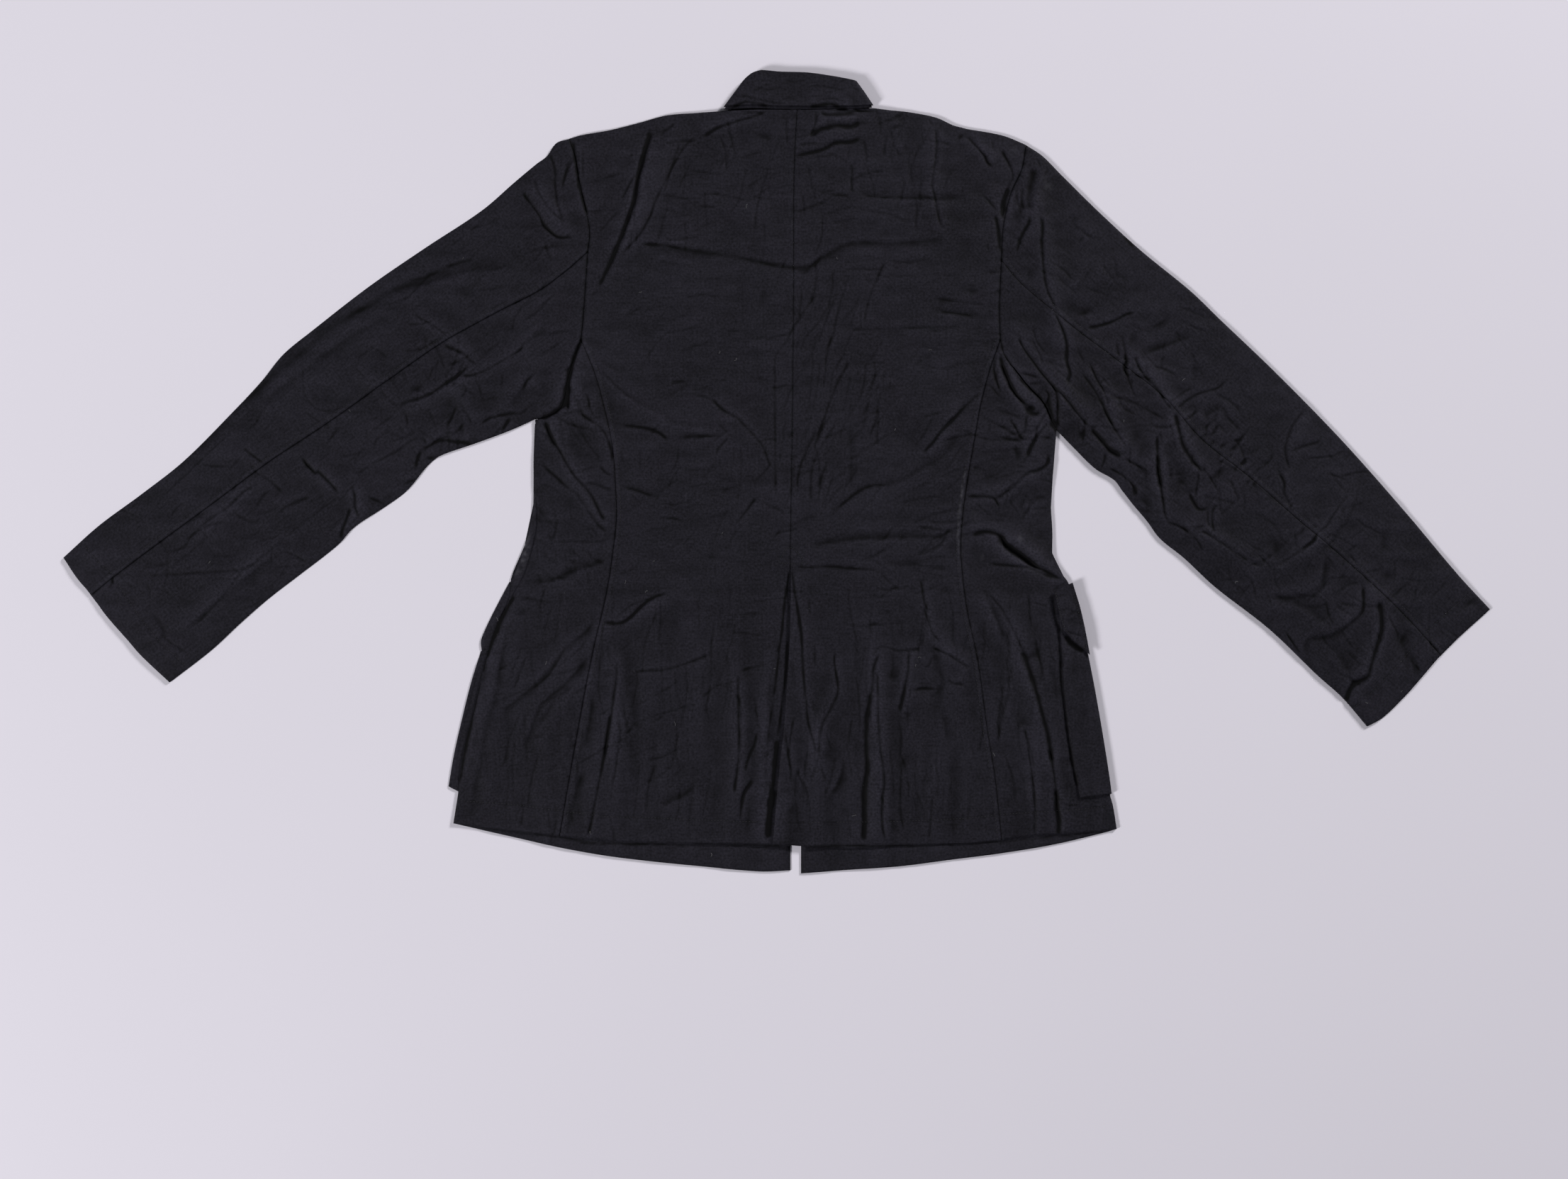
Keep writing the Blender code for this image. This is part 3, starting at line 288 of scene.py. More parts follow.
# A press holds for the creases behind it. Each crease is its first place, then the steps to the next ones.
CREASES: tuple[Press | Table, ...] = (
    # Left sleeve
    Press.SINK, (-347, 91, -4, -7, -9, -5, -3, -4),
    Press.DEEP, (-470, 15, 14, -15, 5, 0, 20, -22), (-419, -12, 3, -12, 0, -10, 5, -13), (-420, -33, -11, -34),
    (-404, -24, 18, -8), (-656, -103, 2, -9), (-330, 125, 10, -3, 12, -6, 7, -6, 9, -5),
    (-304, 107, -4, -7, -24, -17, -12, -7, -25, -9, -3, -4), (-313, 95, 15, 1, 14, 6, 27, 15, 9, 9),
    (-350, 22, 20, 9, 31, -3), (-351, 34, 4, -3, 3, -5), (-350, 23, -5, -14, 0, -7), (-348, 14, 14, 0),
    (-392, 83, 5, -7, 15, -12), (-238, 97, -8, -7, -4, -10), (-262, 55, -10, -16),
    (-251, 277, 17, -24, 5, -10, 6, -6, 8, -5, 16, 0),
    Press.FOLD, (-625, -96, 6, -5, 14, 0, 67, 4, 17, 3, 21, 15, 14, 13), (-486, -77, 11, -5, 13, -9),
    (-514, -12, -14, -10, -14, -13, -11, -7, -24, -21, -7, -10, -18, -7), (-528, 25, 23, -18), (-428, -56, 9, -1),
    (-609, -159, 11, -9, 17, -11), (-358, 156, 19, -11, 15, -12), (-323, 88, 15, -4, 2, -3, -7, -11),
    (-314, 70, 15, -24), (-315, 67, -10, -24), (-330, 39, 10, -1, 4, 1, 6, 7, 1, 3), (-343, 25, 13, 9, 15, 1),
    (-310, 32, 1, 14), (-417, 104, 16, -14, 6, 0, 3, -7), (-370, 63, 5, -8, 1, -11),
    (-243, 67, -9, -9, -8, 0, -17, -3, -7, -2, -10, -7), (-370, -13, 17, 8), (-468, 12, 13, -12),
    (-224, 315, 5, -17, 2, -31, 5, -15, 4, -5), (-240, 291, 8, -20, 8, -12, 16, -14), (-201, 310, -5, -7, -6, -26),
    Press.FAINT, (-523, -94, -26, -32, -25, -25), (-612, -63, 14, -24, -14, -4, -13, 4),
    (-521, 11, 7, -11, 14, -8, 14, -14), (-432, -24, -29, -21, -25, -21), (-605, -24, 70, 67),
    (-507, -42, -7, -7, -14, 4, -10, 9), (-351, 34, -9, -3, -17, -12, -24, -12, -15, -10),
    (-370, 65, -12, -12, -19, -14), (-466, 61, 20, -15), (-468, 115, 2, -34, 7, -14, 15, -7, 19, 5),
    (-368, 118, 22, 4), (-291, 129, 8, 11), (-229, 232, 2, -11, 5, -14), (-298, 210, -15, -3, -15, -5),
    (-389, 163, 25, 10, 25, 26), (-465, 60, 11, -9, 7, -3),
    Press.SHADE, (-482, -79, -18, -8, -88, -73), (-619, -134, 14, -24, -11, -14), (-248, 126, 11, 9, 13, 8),
    (-237, 98, -9, -7, -4, -10, -17, -20), (-322, 173, 9, 3, 18, -3),
    Press.SOFT, (-529, 64, 42, 38, 49, 39, 49, 31, 42, 20, 45, 17), (-536, 39, 35, 32, 42, 33, 42, 30, 42, 23),
    (-602, -5, 53, 48, 62, 66, 28, 32), (-473, 127, 57, 31, 27, 11), (-257, 205, -56, -7, -31, -10, -45, -9),
    # Left back
    Press.PIT, (-206, 88, -2, -17, -6, -9),
    Press.SINK, (-134, 225, 88, -12, 49, -9, 28, -2, 14, 9, 28, 14, 42, 0, 56, 5), (-102, 34, 42, 2),
    (-157, -15, 9, 0, 22, -7, 14, -2), (-221, -104, 49, 17, 7, 4),
    Press.GULF, (-124, 338, -13, -50, -3, -21, -25, -63, -11, -22), (-203, 106, -7, -37, -9, -9, -15, -8),
    (-229, 52, 5, -14, 7, -13),
    Press.DEEP, (-129, 323, -14, -60, -8, -28), (-201, 328, 5, -40, 9, -35), (-11, 354, -45, -14, -18, -10),
    (-192, 133, -7, -19, -5, -19, -2, -14, 0, -23), (-228, 52, 9, -21, 18, -32, 16, -19, 16, -30),
    (-198, 59, 8, -4, 18, -13, 8, -18, 3, -16),
    Press.FOLD, (-199, 311, -8, -15, -3, -14), (28, 202, 10, 3, 6, 8), (-95, 326, -17, -52),
    (-78, 328, -10, -4, -10, -15, -22, -42, -4, -14, -10, -18, -20, -22), (-81, 328, -31, -4), (-98, 345, -18, -12),
    (-191, 315, -1, -29), (-139, 295, -15, -28), (-184, 254, 10, 4, 20, 1), (-154, 258, -10, -9, -12, -14),
    (-184, 188, 10, 5, 8, 7), (-185, 174, 9, 4), (-135, 225, 23, -1, 20, -3), (9, 351, 2, -30),
    (-234, 11, 30, -28, 6, -3, 19, -28, 7, -8, 6, -4), (-218, 56, 11, -7, 11, -4, 17, -4, 6, 0),
    (-214, 57, 18, 3, 9, 3, 2, 4, -2, 7, -4, 4), (-186, 74, 3, -16), (-154, 47, 28, -4, 10, -4, 10, -8),
    (-176, 8, 8, -9, 8, -4), (-192, -11, 13, -1, 19, -8), (-154, -15, 10, -1, 24, -8),
    (-65, 74, 12, -12, 14, -9, 14, -14, 11, -14, 9, -21), (-19, -24, -23, -30),
    Press.FAINT, (-42, 212, 45, -9, 21, -2), (-140, 328, -5, -19), (-151, 296, -28, -9, -11, -2), (-112, 228, 38, 4),
    (-4, 323, -7, -32, -8, -28, -4, -35), (0, 323, -6, -21), (-2, 116, 1, -140), (-187, 88, -6, -12),
    (-172, 98, 24, -22, 11, -5), (-153, 24, 1, -16), (-120, -31, 22, 0, 14, 4, 6, 10), (-134, 25, -1, -28),
    (-222, -69, 56, 1), (-137, -94, -21, -8), (-65, 73, -19, 4, -18, -3), (-35, 27, 0, -27, -4, -32),
    Press.SHADE, (-24, 333, 24, -7), (-193, 57, 11, -5, 6, 0), (-179, 113, 21, -12, 10, -3),
    (-179, 102, 11, -7, 20, -19, 36, -19, 10, -7, 35, -4, 13, 0), (-162, 48, 36, -5, 10, -4, 9, -7, 5, -8),
    (-115, 80, 9, -4, 25, 16), (-231, -20, -4, -40), (-78, -87, 11, 3, 17, 0), (-10, 190, -9, -35),
    # Left skirt
    Press.PIT, (-3, -311, -6, -51), (-275, -150, -9, -21, -4, -14), (-290, -173, -4, -17),
    Press.SINK, (-176, -143, -14, -17, -14, -11, -10, -10, -10, -14, -13, -14, -25, -21, -12, -6),
    (-182, -179, -25, -30, -14, -11, -11, -12, -18, -44), (-214, -220, -24, -35),
    (-180, -216, -6, -39, -3, -14, -3, -7), (-189, -290, -7, -21, -5, -21, -3, -21),
    (-248, -106, 14, -2, 27, 6, 14, 8), (-78, -304, -10, -12, -18, -9, -14, -5),
    (-288, -179, -9, -28, -16, -72, -5, -29), (-290, -185, -22, -87, -4, -29), (-284, -185, -10, -38),
    (-277, -172, -2, -13),
    Press.GULF, (1, -262, -11, -102), (-258, -120, -15, -28, -15, -39, -3, -12),
    Press.DEEP, (-106, -118, -14, -5, -10, -6, -21, -19, -21, -1), (-157, -188, -2, -25, -8, -52, -19, -95),
    (-164, -237, -6, -46), (-38, -199, 1, -70, -1, -21, -4, -29), (-22, -302, -9, -12, -3, -11, -2, -19),
    (12, -96, -15, -127), (11, -164, -3, -42, -7, -56), (-292, -202, -22, -107), (-257, -115, -9, 7),
    Press.FOLD, (-142, -199, 8, 3, 28, 2, 41, 15), (-157, -241, 3, -14, -10, -70), (-152, -260, 7, 5, 3, 7),
    (-19, -255, -3, -14, -6, -14, -3, -15), (11, -116, 1, -20, -2, -56),
    (-316, -348, 25, -4, 77, -8, 35, -6, 185, -3),
    Press.FAINT, (-172, -154, 8, -2), (-168, -167, 4, -23), (-179, -241, 14, 7, 6, 7), (-150, -213, 12, 11),
    (-249, -325, -3, -26), (-257, -122, 36, -7), (-224, -113, 17, 1), (-252, -171, -5, -17, -6, -11),
    (-123, -246, 7, 3, 7, 6), (-38, -197, 38, 12, 10, 7), (-39, -206, -21, -5, -14, -12), (0, -269, -8, -7, -11, -14),
    (-11, -290, 5, -28), (-252, -234, -11, -28, -6, -28), (-235, -276, -7, -28, -4, -28),
    Press.SHADE, (-176, -200, 14, 1, 5, 5), (-265, -141, -1, -16, -12, -66, -8, -32, -6, -35, -5, -17, -5, -39),
    (-269, -167, -3, -21, -5, -21), (-291, -244, -11, -35), (-263, -139, 21, 0), (-4, -199, -4, -21, 2, -21, -4, -35),
    (-28, -325, 0, -21, -2, -18),
    # Right back
    Press.SINK, (192, 71, -14, -16, -14, -13), (32, -73, 24, 5, 55, 4, 63, 0),
    Press.GULF, (32, 330, 6, 5, 10, 4, 11, 2, 14, 0, 11, 4), (230, 283, -6, -20, 0, -10),
    Press.DEEP, (17, 311, 28, 7, 14, 6, 14, 2, 11, 4), (42, 356, 6, -4, 31, 2),
    (202, 76, -7, -3, -31, -31, -8, -11, -13, -13), (178, 326, 4, 5, 4, 2), (186, 333, 19, -21, 3, -7, 6, -5),
    (222, 319, 11, -25, -2, -10), (215, 255, 4, -20, 1, -18),
    Press.FOLD, (19, 323, 23, 1), (38, 356, 1, -7, -2, -9, -4, -9), (45, 358, 14, -2, 25, 0, 11, -2),
    (75, 359, 9, -3, 9, 0, 5, -2), (126, 343, -10, -3, -8, 0), (149, 350, 3, -6, 4, -2),
    (157, 339, 0, -23, -4, -33, 3, -10, 4, -24, 4, -10), (74, 295, 0, -22), (50, 274, 24, -2),
    (107, 209, -12, -28, -7, -24, -2, -12), (72, 110, -16, -31, -20, -60), (50, 11, -10, -28),
    (40, 43, -16, -36, -4, -24), (160, 158, 35, -4), (111, -12, -20, -2, -15, -8, -16, -14),
    (202, 274, 7, -6, 10, -13), (205, 198, 8, -1, 8, 1), (17, -93, 17, -1, 18, 1, 49, -4),
    Press.FAINT, (95, 354, -7, -7, -4, -7), (112, 340, 5, -26), (116, 326, 6, -17), (76, 309, -2, -18),
    (87, 258, 24, -4, 16, -6), (18, 256, 32, 11), (46, 256, -2, -24, -8, -23), (70, 193, -8, -28, -6, -28, -8, -19),
    (60, 181, -20, -55), (88, 106, -4, -27, -12, -24), (99, 102, -8, -23), (36, 118, -4, -56),
    (80, 273, 35, -3, 42, 0), (154, 171, 52, -6), (72, 140, 110, 4), (189, 335, 4, -6, 6, -3), (213, 330, 1, -14),
    (207, 228, 3, -12), (201, 191, 5, -8), (209, 163, 1, -10), (94, -85, 7, -6, 7, -1),
    Press.SHADE, (45, 342, 13, 8), (116, 354, 10, -12), (129, 324, -3, -8), (11, 202, 23, -3, 6, 10),
    (72, 47, 2, -32, -2, -35), (73, 51, 15, 8, 23, 3), (146, 161, 28, -3, 18, -4, 14, 1),
    (76, 277, 39, -6, 49, -1, 28, 1), (182, 43, -16, -24, -31, -20, -24, -11, -20, -2, -15, -8, -16, -14, -12, -14),
    (135, -17, 28, 13), (157, 165, 21, 6), (186, 179, 7, -1, 7, 1), (38, -94, 32, -1, 28, -3),
    (101, -91, 28, 1, 24, -2), (157, -116, 21, -3),
    # Right side
    Press.PIT, (216, -64, 42, -30), (227, -69, 27, -23), (247, 65, 7, -7), (272, 52, 3, -10),
    Press.SINK, (230, 29, 7, -11, -4, -10), (202, -110, 21, -50, 5, -16),
    Press.GULF, (309, 45, 17, -20, 15, -11), (220, 116, 4, -17, 6, -14, 19, -26, 7, -2, 6, 2),
    (268, 74, 1, -12, 8, -25), (221, 108, 15, -31, 12, -12, 10, -5),
    (191, -64, 8, 4, 8, 1, 9, -2, 7, -5, 7, -8, 21, -16, 30, -16), (221, -67, 13, -12, 14, -10, 14, -7),
    (241, -174, 6, -14, 15, -49, 10, -51), (275, -311, 3, -33, 0, -16), (283, -159, 7, -9, 15, -10),
    Press.DEEP, (237, 134, 6, -12, 26, -34, 14, -14, 17, -21, 9, -8), (341, 14, 28, -15), (216, 114, -2, -12, 7, -24),
    (270, 88, 5, -10, 2, -12, 0, -13, 3, -10), (268, 62, -11, -18, -2, -12, -4, -9, -7, -9),
    (263, 82, 5, -6, -2, -9, -7, -7, -9, -4), (245, 16, 7, 13, 17, 22),
    (269, 18, -3, -10, -8, -6, -10, -3, -18, -16, -10, -7, -7, -2), (185, -24, 28, -2, 8, -10),
    (209, -90, 35, -4, 11, -3, 14, -6, 14, -3), (269, -272, 7, -46, 2, -21, 0, -19),
    (244, -251, 4, -18, 6, -56, 1, -35),
    Press.FOLD, (223, 118, 14, -23, 19, -19, 9, -6), (234, 99, 27, -6), (353, 3, 11, -4, 6, -4),
    (261, 81, -3, -5, 4, -6, 5, -3), (266, 52, -15, -13, -7, -4), (227, 53, 7, -7, 6, -10, 5, -5), (209, 37, 35, -7),
    (227, 102, 15, -14, 17, -12), (199, 56, 46, -24), (198, 34, 15, -2, 32, 0), (209, 88, 14, -16),
    (213, 64, 28, -11), (255, 34, 18, 0), (247, 60, -2, -21), (209, -120, 14, -17, 21, -41), (248, -118, 3, -36),
    (251, -269, 4, -35), (272, -120, 4, -28, 4, -8, 5, -6), (271, -118, 12, 8, 6, 2), (283, -157, 20, -5, 7, -5),
    (152, -172, 19, -9, 14, -9, 8, -2),
    Press.FAINT, (241, 88, 10, -1, 11, 1, 4, -3), (353, -4, 11, -4, 6, -4), (220, 106, -7, -21), (206, 44, 33, 0),
    (202, 18, 39, 6), (192, 4, 17, 7, 18, 2), (192, -10, 21, 6, 14, 8), (202, -45, 11, -3, 14, 3), (244, 1, -31, -8),
    (213, -43, 17, 2), (251, -25, 18, 1), (241, -38, 28, 4), (234, -17, -4, -17), (244, -24, -3, -17),
    (251, -129, 18, -3), (272, -125, 6, 3, 9, 2), (276, -137, 7, 1, 11, 4), (283, -148, 17, 5),
    (276, -318, 10, -10, 14, 0), (192, -311, -4, -35), (184, -332, 0, -26), (174, -206, 11, -3),
    Press.SHADE, (234, -244, 10, -4, 10, 2), (266, -185, 8, -21, 3, -28), (163, -227, 7, -45),
    Press.SOFT, (234, -190, 14, 5, 20, 18), (235, -164, 16, -17, 21, 7), (241, -199, 28, -7),
    # Right skirt
    Press.SINK, (67, -276, -2, -21, -6, -15, -11, -13),
    Press.GULF, (93, -216, -4, -25, -1, -28, 1, -21, -2, -21, -1, -54),
    Press.DEEP, (14, -96, 9, -54, 7, -87, 10, -42), (58, -176, -1, -12, 3, -25, -2, -10, -12, -25, -3, -10, -1, -21),
    (101, -178, -5, -14, -1, -17, -3, -14), (99, -195, 2, -67, 5, -42, -2, -21, 0, -21, 3, -19),
    (130, -174, -2, -32, -7, -32),
    Press.FOLD, (142, -104, 4, -25, 4, -10), (145, -132, 8, -25, 10, -12), (40, -279, -1, -11, -7, -16),
    (41, -283, 8, -24), (95, -181, 5, 7, 8, 2, 10, -4, 12, 0, 13, 3), (17, -241, -6, -42),
    (28, -369, 157, 2, 140, 12), (38, -167, -1, -25), (153, -318, -2, -45), (132, -216, 11, 3, 17, -1),
    (167, -202, 7, -6, 14, -2), (142, -193, 8, 3, 3, 9),
    Press.FAINT, (101, -98, 14, -13, 8, -5), (136, -146, 4, 5, 5, 3), (59, -279, -7, -28, -6, -14),
    (48, -255, 8, -21), (31, -122, 2, -21), (150, -339, 1, -24), (71, -339, 2, -24), (24, -290, -4, -12),
    (76, -167, 5, -14), (150, -224, 7, 6), (136, -150, 7, 9), (164, -220, 14, 3), (105, -136, 9, -3),
    (284, -134, 18, -7), (286, -148, 18, -2), (285, -141, 11, 3),
    Press.SHADE, (145, -141, 1, -16), (153, -167, 3, -18, -2, -14), (34, -220, 5, -23), (101, -202, 15, 1, 13, 6),
    (136, -215, 10, 2, 12, -1), (158, -206, 2, -10, -7, -7), (136, -223, -8, -28), (129, -276, -7, -14, -6, -3),
    (18, -319, -4, -13, -13, -7), (157, -188, 7, -18, -6, -17), (143, -94, 21, -1, 14, 1), (116, -339, -2, -24),
    # Right sleeve
    Press.PIT, (254, 301, -5, -31, 1, -14),
    Press.SINK, (241, 283, -6, -16, -1, -14), (291, 154, 13, 3, 12, 1), (356, -24, 10, -9, -8, -6),
    (306, 45, -9, -14), (356, 112, 14, 8, 44, 17), (366, 140, 15, 8, 8, 8), (416, 52, 26, 15), (422, -11, 27, 20),
    (542, -80, -1, -14, -3, -14, -6, -8, -11, -6, -14, -2, -25, 2),
    (577, -106, 1, -16, -1, -14, -5, -8, -20, -15, -10, -4, -18, -3, -3, -19), (624, -178, 10, -28),
    (672, -137, 14, 8, 10, -5),
    Press.GULF, (392, 60, 6, -24, 5, -14, 12, -18), (375, 18, 1, -17, 3, -18),
    (594, -126, 2, -27, -10, -39, -3, -9, -14, -9, -5, -10, -2, -9),
    Press.DEEP, (233, 290, -6, -11, -4, -12, -1, -19), (243, 283, -1, -16, 2, -11),
    (249, 253, 0, -7, -8, -14, -5, -19), (259, 254, 3, -10, -1, -23, 3, -31, 3, -12, 9, -18),
    (305, 142, 23, 5, 18, 9, 8, 1), (273, 158, 10, -22, 3, -13, 0, -14, 3, -12, -4, -12), (341, 234, 13, -14),
    (343, 119, 2, -10, -2, -7, 4, -9), (357, 116, -3, -5, 7, -14, 15, -16, 8, -14, 8, -7), (410, 11, 11, -13),
    (406, -19, 5, -10, 6, -7, 9, 0), (383, -48, 18, -7, 8, -6), (415, -57, 11, -5, 40, -27),
    (375, 38, 0, -27, 6, -38, 3, -18, 5, -5), (325, 3, 7, -1, 14, -10, 6, -7, 1, -10), (534, -60, -7, -10, -12, -7),
    (501, -157, 17, -23), (643, -164, 4, -7, 7, -8),
    Press.FOLD, (234, 283, 8, -31), (268, 301, -2, -6, -5, -4), (256, 311, 6, -14),
    (300, 99, 14, -19, 11, -23, 20, -34), (310, 106, 4, -11, 11, -21, 2, -10),
    (320, 85, 8, -8, 10, -4, 8, -1, 36, -20), (319, 83, 0, -6, 3, -10, 10, -24), (340, 137, 5, -28, -2, -7, 12, -30),
    (334, 130, 5, -19), (416, 3, -3, -31), (426, -35, -1, -13, 2, -8), (438, -32, -7, -3, -2, -13, 2, -15),
    (408, -56, 17, 3), (409, -61, 7, -8, 6, -11), (374, 41, 4, -5, 1, -11), (367, 46, 11, -2, 10, 1, 7, 3),
    (325, 22, -2, -11, -4, -11), (353, -10, 3, -15), (394, 62, 15, 12, 14, 6, 11, 3, 11, 10), (427, 48, -5, -10),
    (521, 62, -8, -10, -7, -13, -4, -14, 0, -10, 4, -12), (496, 0, 5, -10, 0, -10, 5, -11, 2, -11),
    (564, -21, -15, -20, -7, -12, -9, -8, -5, -8, -28, -19, -11, -5), (578, -111, 0, -25, -6, -8, -9, -7),
    (590, -180, 7, -11),
    Press.FAINT, (234, 270, 7, 6), (286, 213, -7, -17), (304, 235, -7, -11), (252, 144, 4, -14, 10, -14),
    (296, 123, 9, -18), (311, 102, 11, -10, 9, -11), (336, 74, 5, -11), (364, -48, 31, -4), (332, 3, 9, 3),
    (504, 20, 35, 12), (465, -88, 11, -4, 7, 6), (436, -107, 19, 3), (569, -153, 4, -8), (532, -195, 7, 2),
    (607, -124, 9, 9, 11, 7), (625, -130, 16, 13),
    Press.SHADE, (236, 263, 1, -10, -4, -7), (248, 204, 1, -11, -3, -9), (318, 207, -10, -10, -14, -18, -9, -5),
    (326, 190, 10, 3, 11, -5), (351, 141, -1, -18), (392, -10, 14, 1), (408, 120, 4, -18, -3, -19),
    (448, 11, 10, 6, 14, 5, 7, 10), (465, -17, 9, 8), (619, -152, 0, -8, -8, -18), (598, -52, 0, -21, -2, -14),
    (602, -96, 0, -13),
    Press.SOFT, (486, -55, 7, -19, -1, -20), (546, -167, 20, -32, 11, -28), (605, -146, 17, -35, -3, -28),
    (493, -122, 35, -14, 28, -28),
    # Collar
    Press.DEEP, (-36, 352, 11, 2, 15, 0), (-47, 357, 8, 4, 11, 3, 23, -5), (30, 359, 22, 3, 10, -3, 11, -1),
    Press.FOLD, (-42, 371, 10, -1, 24, -6, 18, -2), (-39, 356, 17, -1),
    Press.FAINT, (31, 370, 17, 0, 14, -6), (28, 377, 10, 3, 21, -3), (73, 379, 11, -5), (38, 366, 18, 1, 14, -3),
)


@dataclass(frozen=True)
class Seam:
    """One seam or row of stitches as it marks the cloth.

    A positive offset puts the stitched row that much to the left of the path's direction.
    """

    path: Table
    depth: float = 0.75
    width: float = 1.5
    offset: float = 0.0
    padding: float = 0.3
    pucker: float = 0.14


@dataclass(frozen=True)
class Crackle:
    """A patch of fine creases: its middle, half sizes, their direction in degrees, number and firmness."""

    across: float
    up: float
    half_width: float
    half_height: float
    angle: float
    spread: float
    number: int
    longest: float = 42.0
    firm: bool = False


CRACKLES: tuple[Crackle, ...] = tuple(Crackle(*row) for row in (
    (52, 88, 50, 115, 72, 12, 46, 60), (94, 298, 76, 52, 84, 14, 22), (94, 290, 76, 60, 2, 12, 26),
    (-67, 280, 78, 52, 4, 14, 24), (-67, 270, 78, 60, 82, 10, 14, 60), (-70, 150, 75, 70, 3, 16, 22),
    (143, 144, 72, 66, 8, 12, 34), (-67, -17, 76, 66, 4, 20, 34), (-60, -20, 70, 66, 52, 14, 14),
    (104, -10, 82, 76, 30, 14, 46, 60), (-203, -24, 32, 92, -42, 20, 36), (227, -5, 40, 72, 4, 42, 50, 34),
    (-137, -241, 150, 112, 88, 8, 64, 70), (-180, -215, 90, 90, 36, 12, 20, 60), (160, -234, 160, 112, 92, 8, 76, 70),
    (60, -120, 110, 40, 6, 16, 22), (-285, 185, 95, 70, 34, 20, 46), (-340, 70, 70, 60, 30, 60, 66, 34),
    (-500, -20, 90, 80, 34, 26, 40), (-580, -80, 80, 60, 20, 60, 30), (330, 170, 90, 80, -40, 24, 46),
    (390, 40, 90, 80, -55, 50, 86, 40), (500, -60, 90, 80, -44, 40, 54), (590, -150, 70, 60, -40, 60, 40),
    (20, 378, 60, 12, 2, 16, 14, 26), (0, -380, 230, 10, 90, 12, 26, 14), (417, 45, 18, 16, 42, 12, 14, 18, True),
    (444, 24, 18, 16, 42, 12, 14, 18, True), (471, 0, 18, 16, 42, 12, 14, 18, True),
    (500, -26, 18, 16, 40, 12, 12, 18, True), (545, -66, 34, 32, 40, 14, 14, 20, True),
))


@dataclass(frozen=True)
class PaleMark:
    """A pale mark painted on the cloth, rubbed wear or a painted sheen: its path, half width and strength."""

    path: Table
    width: float
    strength: float


PALE_MARKS: tuple[PaleMark, ...] = (
    # Rubbed, chalky wear on the right back and side, along the right princess seam and beside it.
    PaleMark((188, 16, 185.7, 1, 183.6, -13, 180.8, -31, 179.4, -48, 178.7, -66, 181.5, -97), 1.8, 0.66),
    PaleMark((185, -10, 181, -60, 184, -110), 6.0, 0.24),
    PaleMark((236, -61, 246, -74), 4.5, 0.38),
    PaleMark((201, -78, 204, -89), 3.0, 0.36),
    PaleMark((190, -38, 203, -48), 7.0, 0.22),
    # A painted sheen: a painted highlight where light catches the right sleeve's top.
    PaleMark((262, 296, 266, 284, 272, 273), 8.5, 0.34),
    # A pale patch at the top of the right armhole.
    PaleMark((231, 322, 238, 311), 7.0, 0.28),
    # A paler strip along the left side's edge.
    PaleMark((-241, -6, -242, -24, -245, -52, -249, -80, -254, -97, -260, -113), 4.0, 0.85),
)

LINT: Table = (
    -136, 177, -122, -88, -54, -61, -150, -110, -127, -117, -57, 117, -42, 110, 116, 41, 142, -183, 137, -192,
    -228, -190, 74, -339, 47, -145, -183, -357, -65, -379, -275, -147, -3, -194, 342, 49, 455, -108, 583, -228,
    616, -217, -310, 210, -420, 60, 60, 210, 150, 120, -100, -250, 215, -280, 400, 90, -560, -90, -30, 260,
)


def smooth_step(low: float, high: float, value: Array | float) -> Array:
    """Rise smoothly from 0 at low to 1 at high."""
    share = np.clip((np.asarray(value, dtype=float) - low) / (high - low), 0.0, 1.0)
    return share * share * (3.0 - 2.0 * share)


def bell(away: Array, width: float | Array) -> Array:
    """Fall from 1 along a bell of the given half width."""
    return np.exp(-(away / width) ** 2)


def blend(values: Array, row: Array, column: Array, down: Array, right: Array) -> Array:
    """Mix each wanted cell of a grid with the cells beyond it.

    Args:
        values: The grid.
        row: Rows of the wanted cells.
        column: Their columns.
        down: Share of the way to the next row.
        right: Share of the way to the next column.

    Returns:
        The mixed values.
    """
    near = values[row, column] * (1 - right) + values[row, column + 1] * right
    far = values[row + 1, column] * (1 - right) + values[row + 1, column + 1] * right
    return near * (1 - down) + far * down


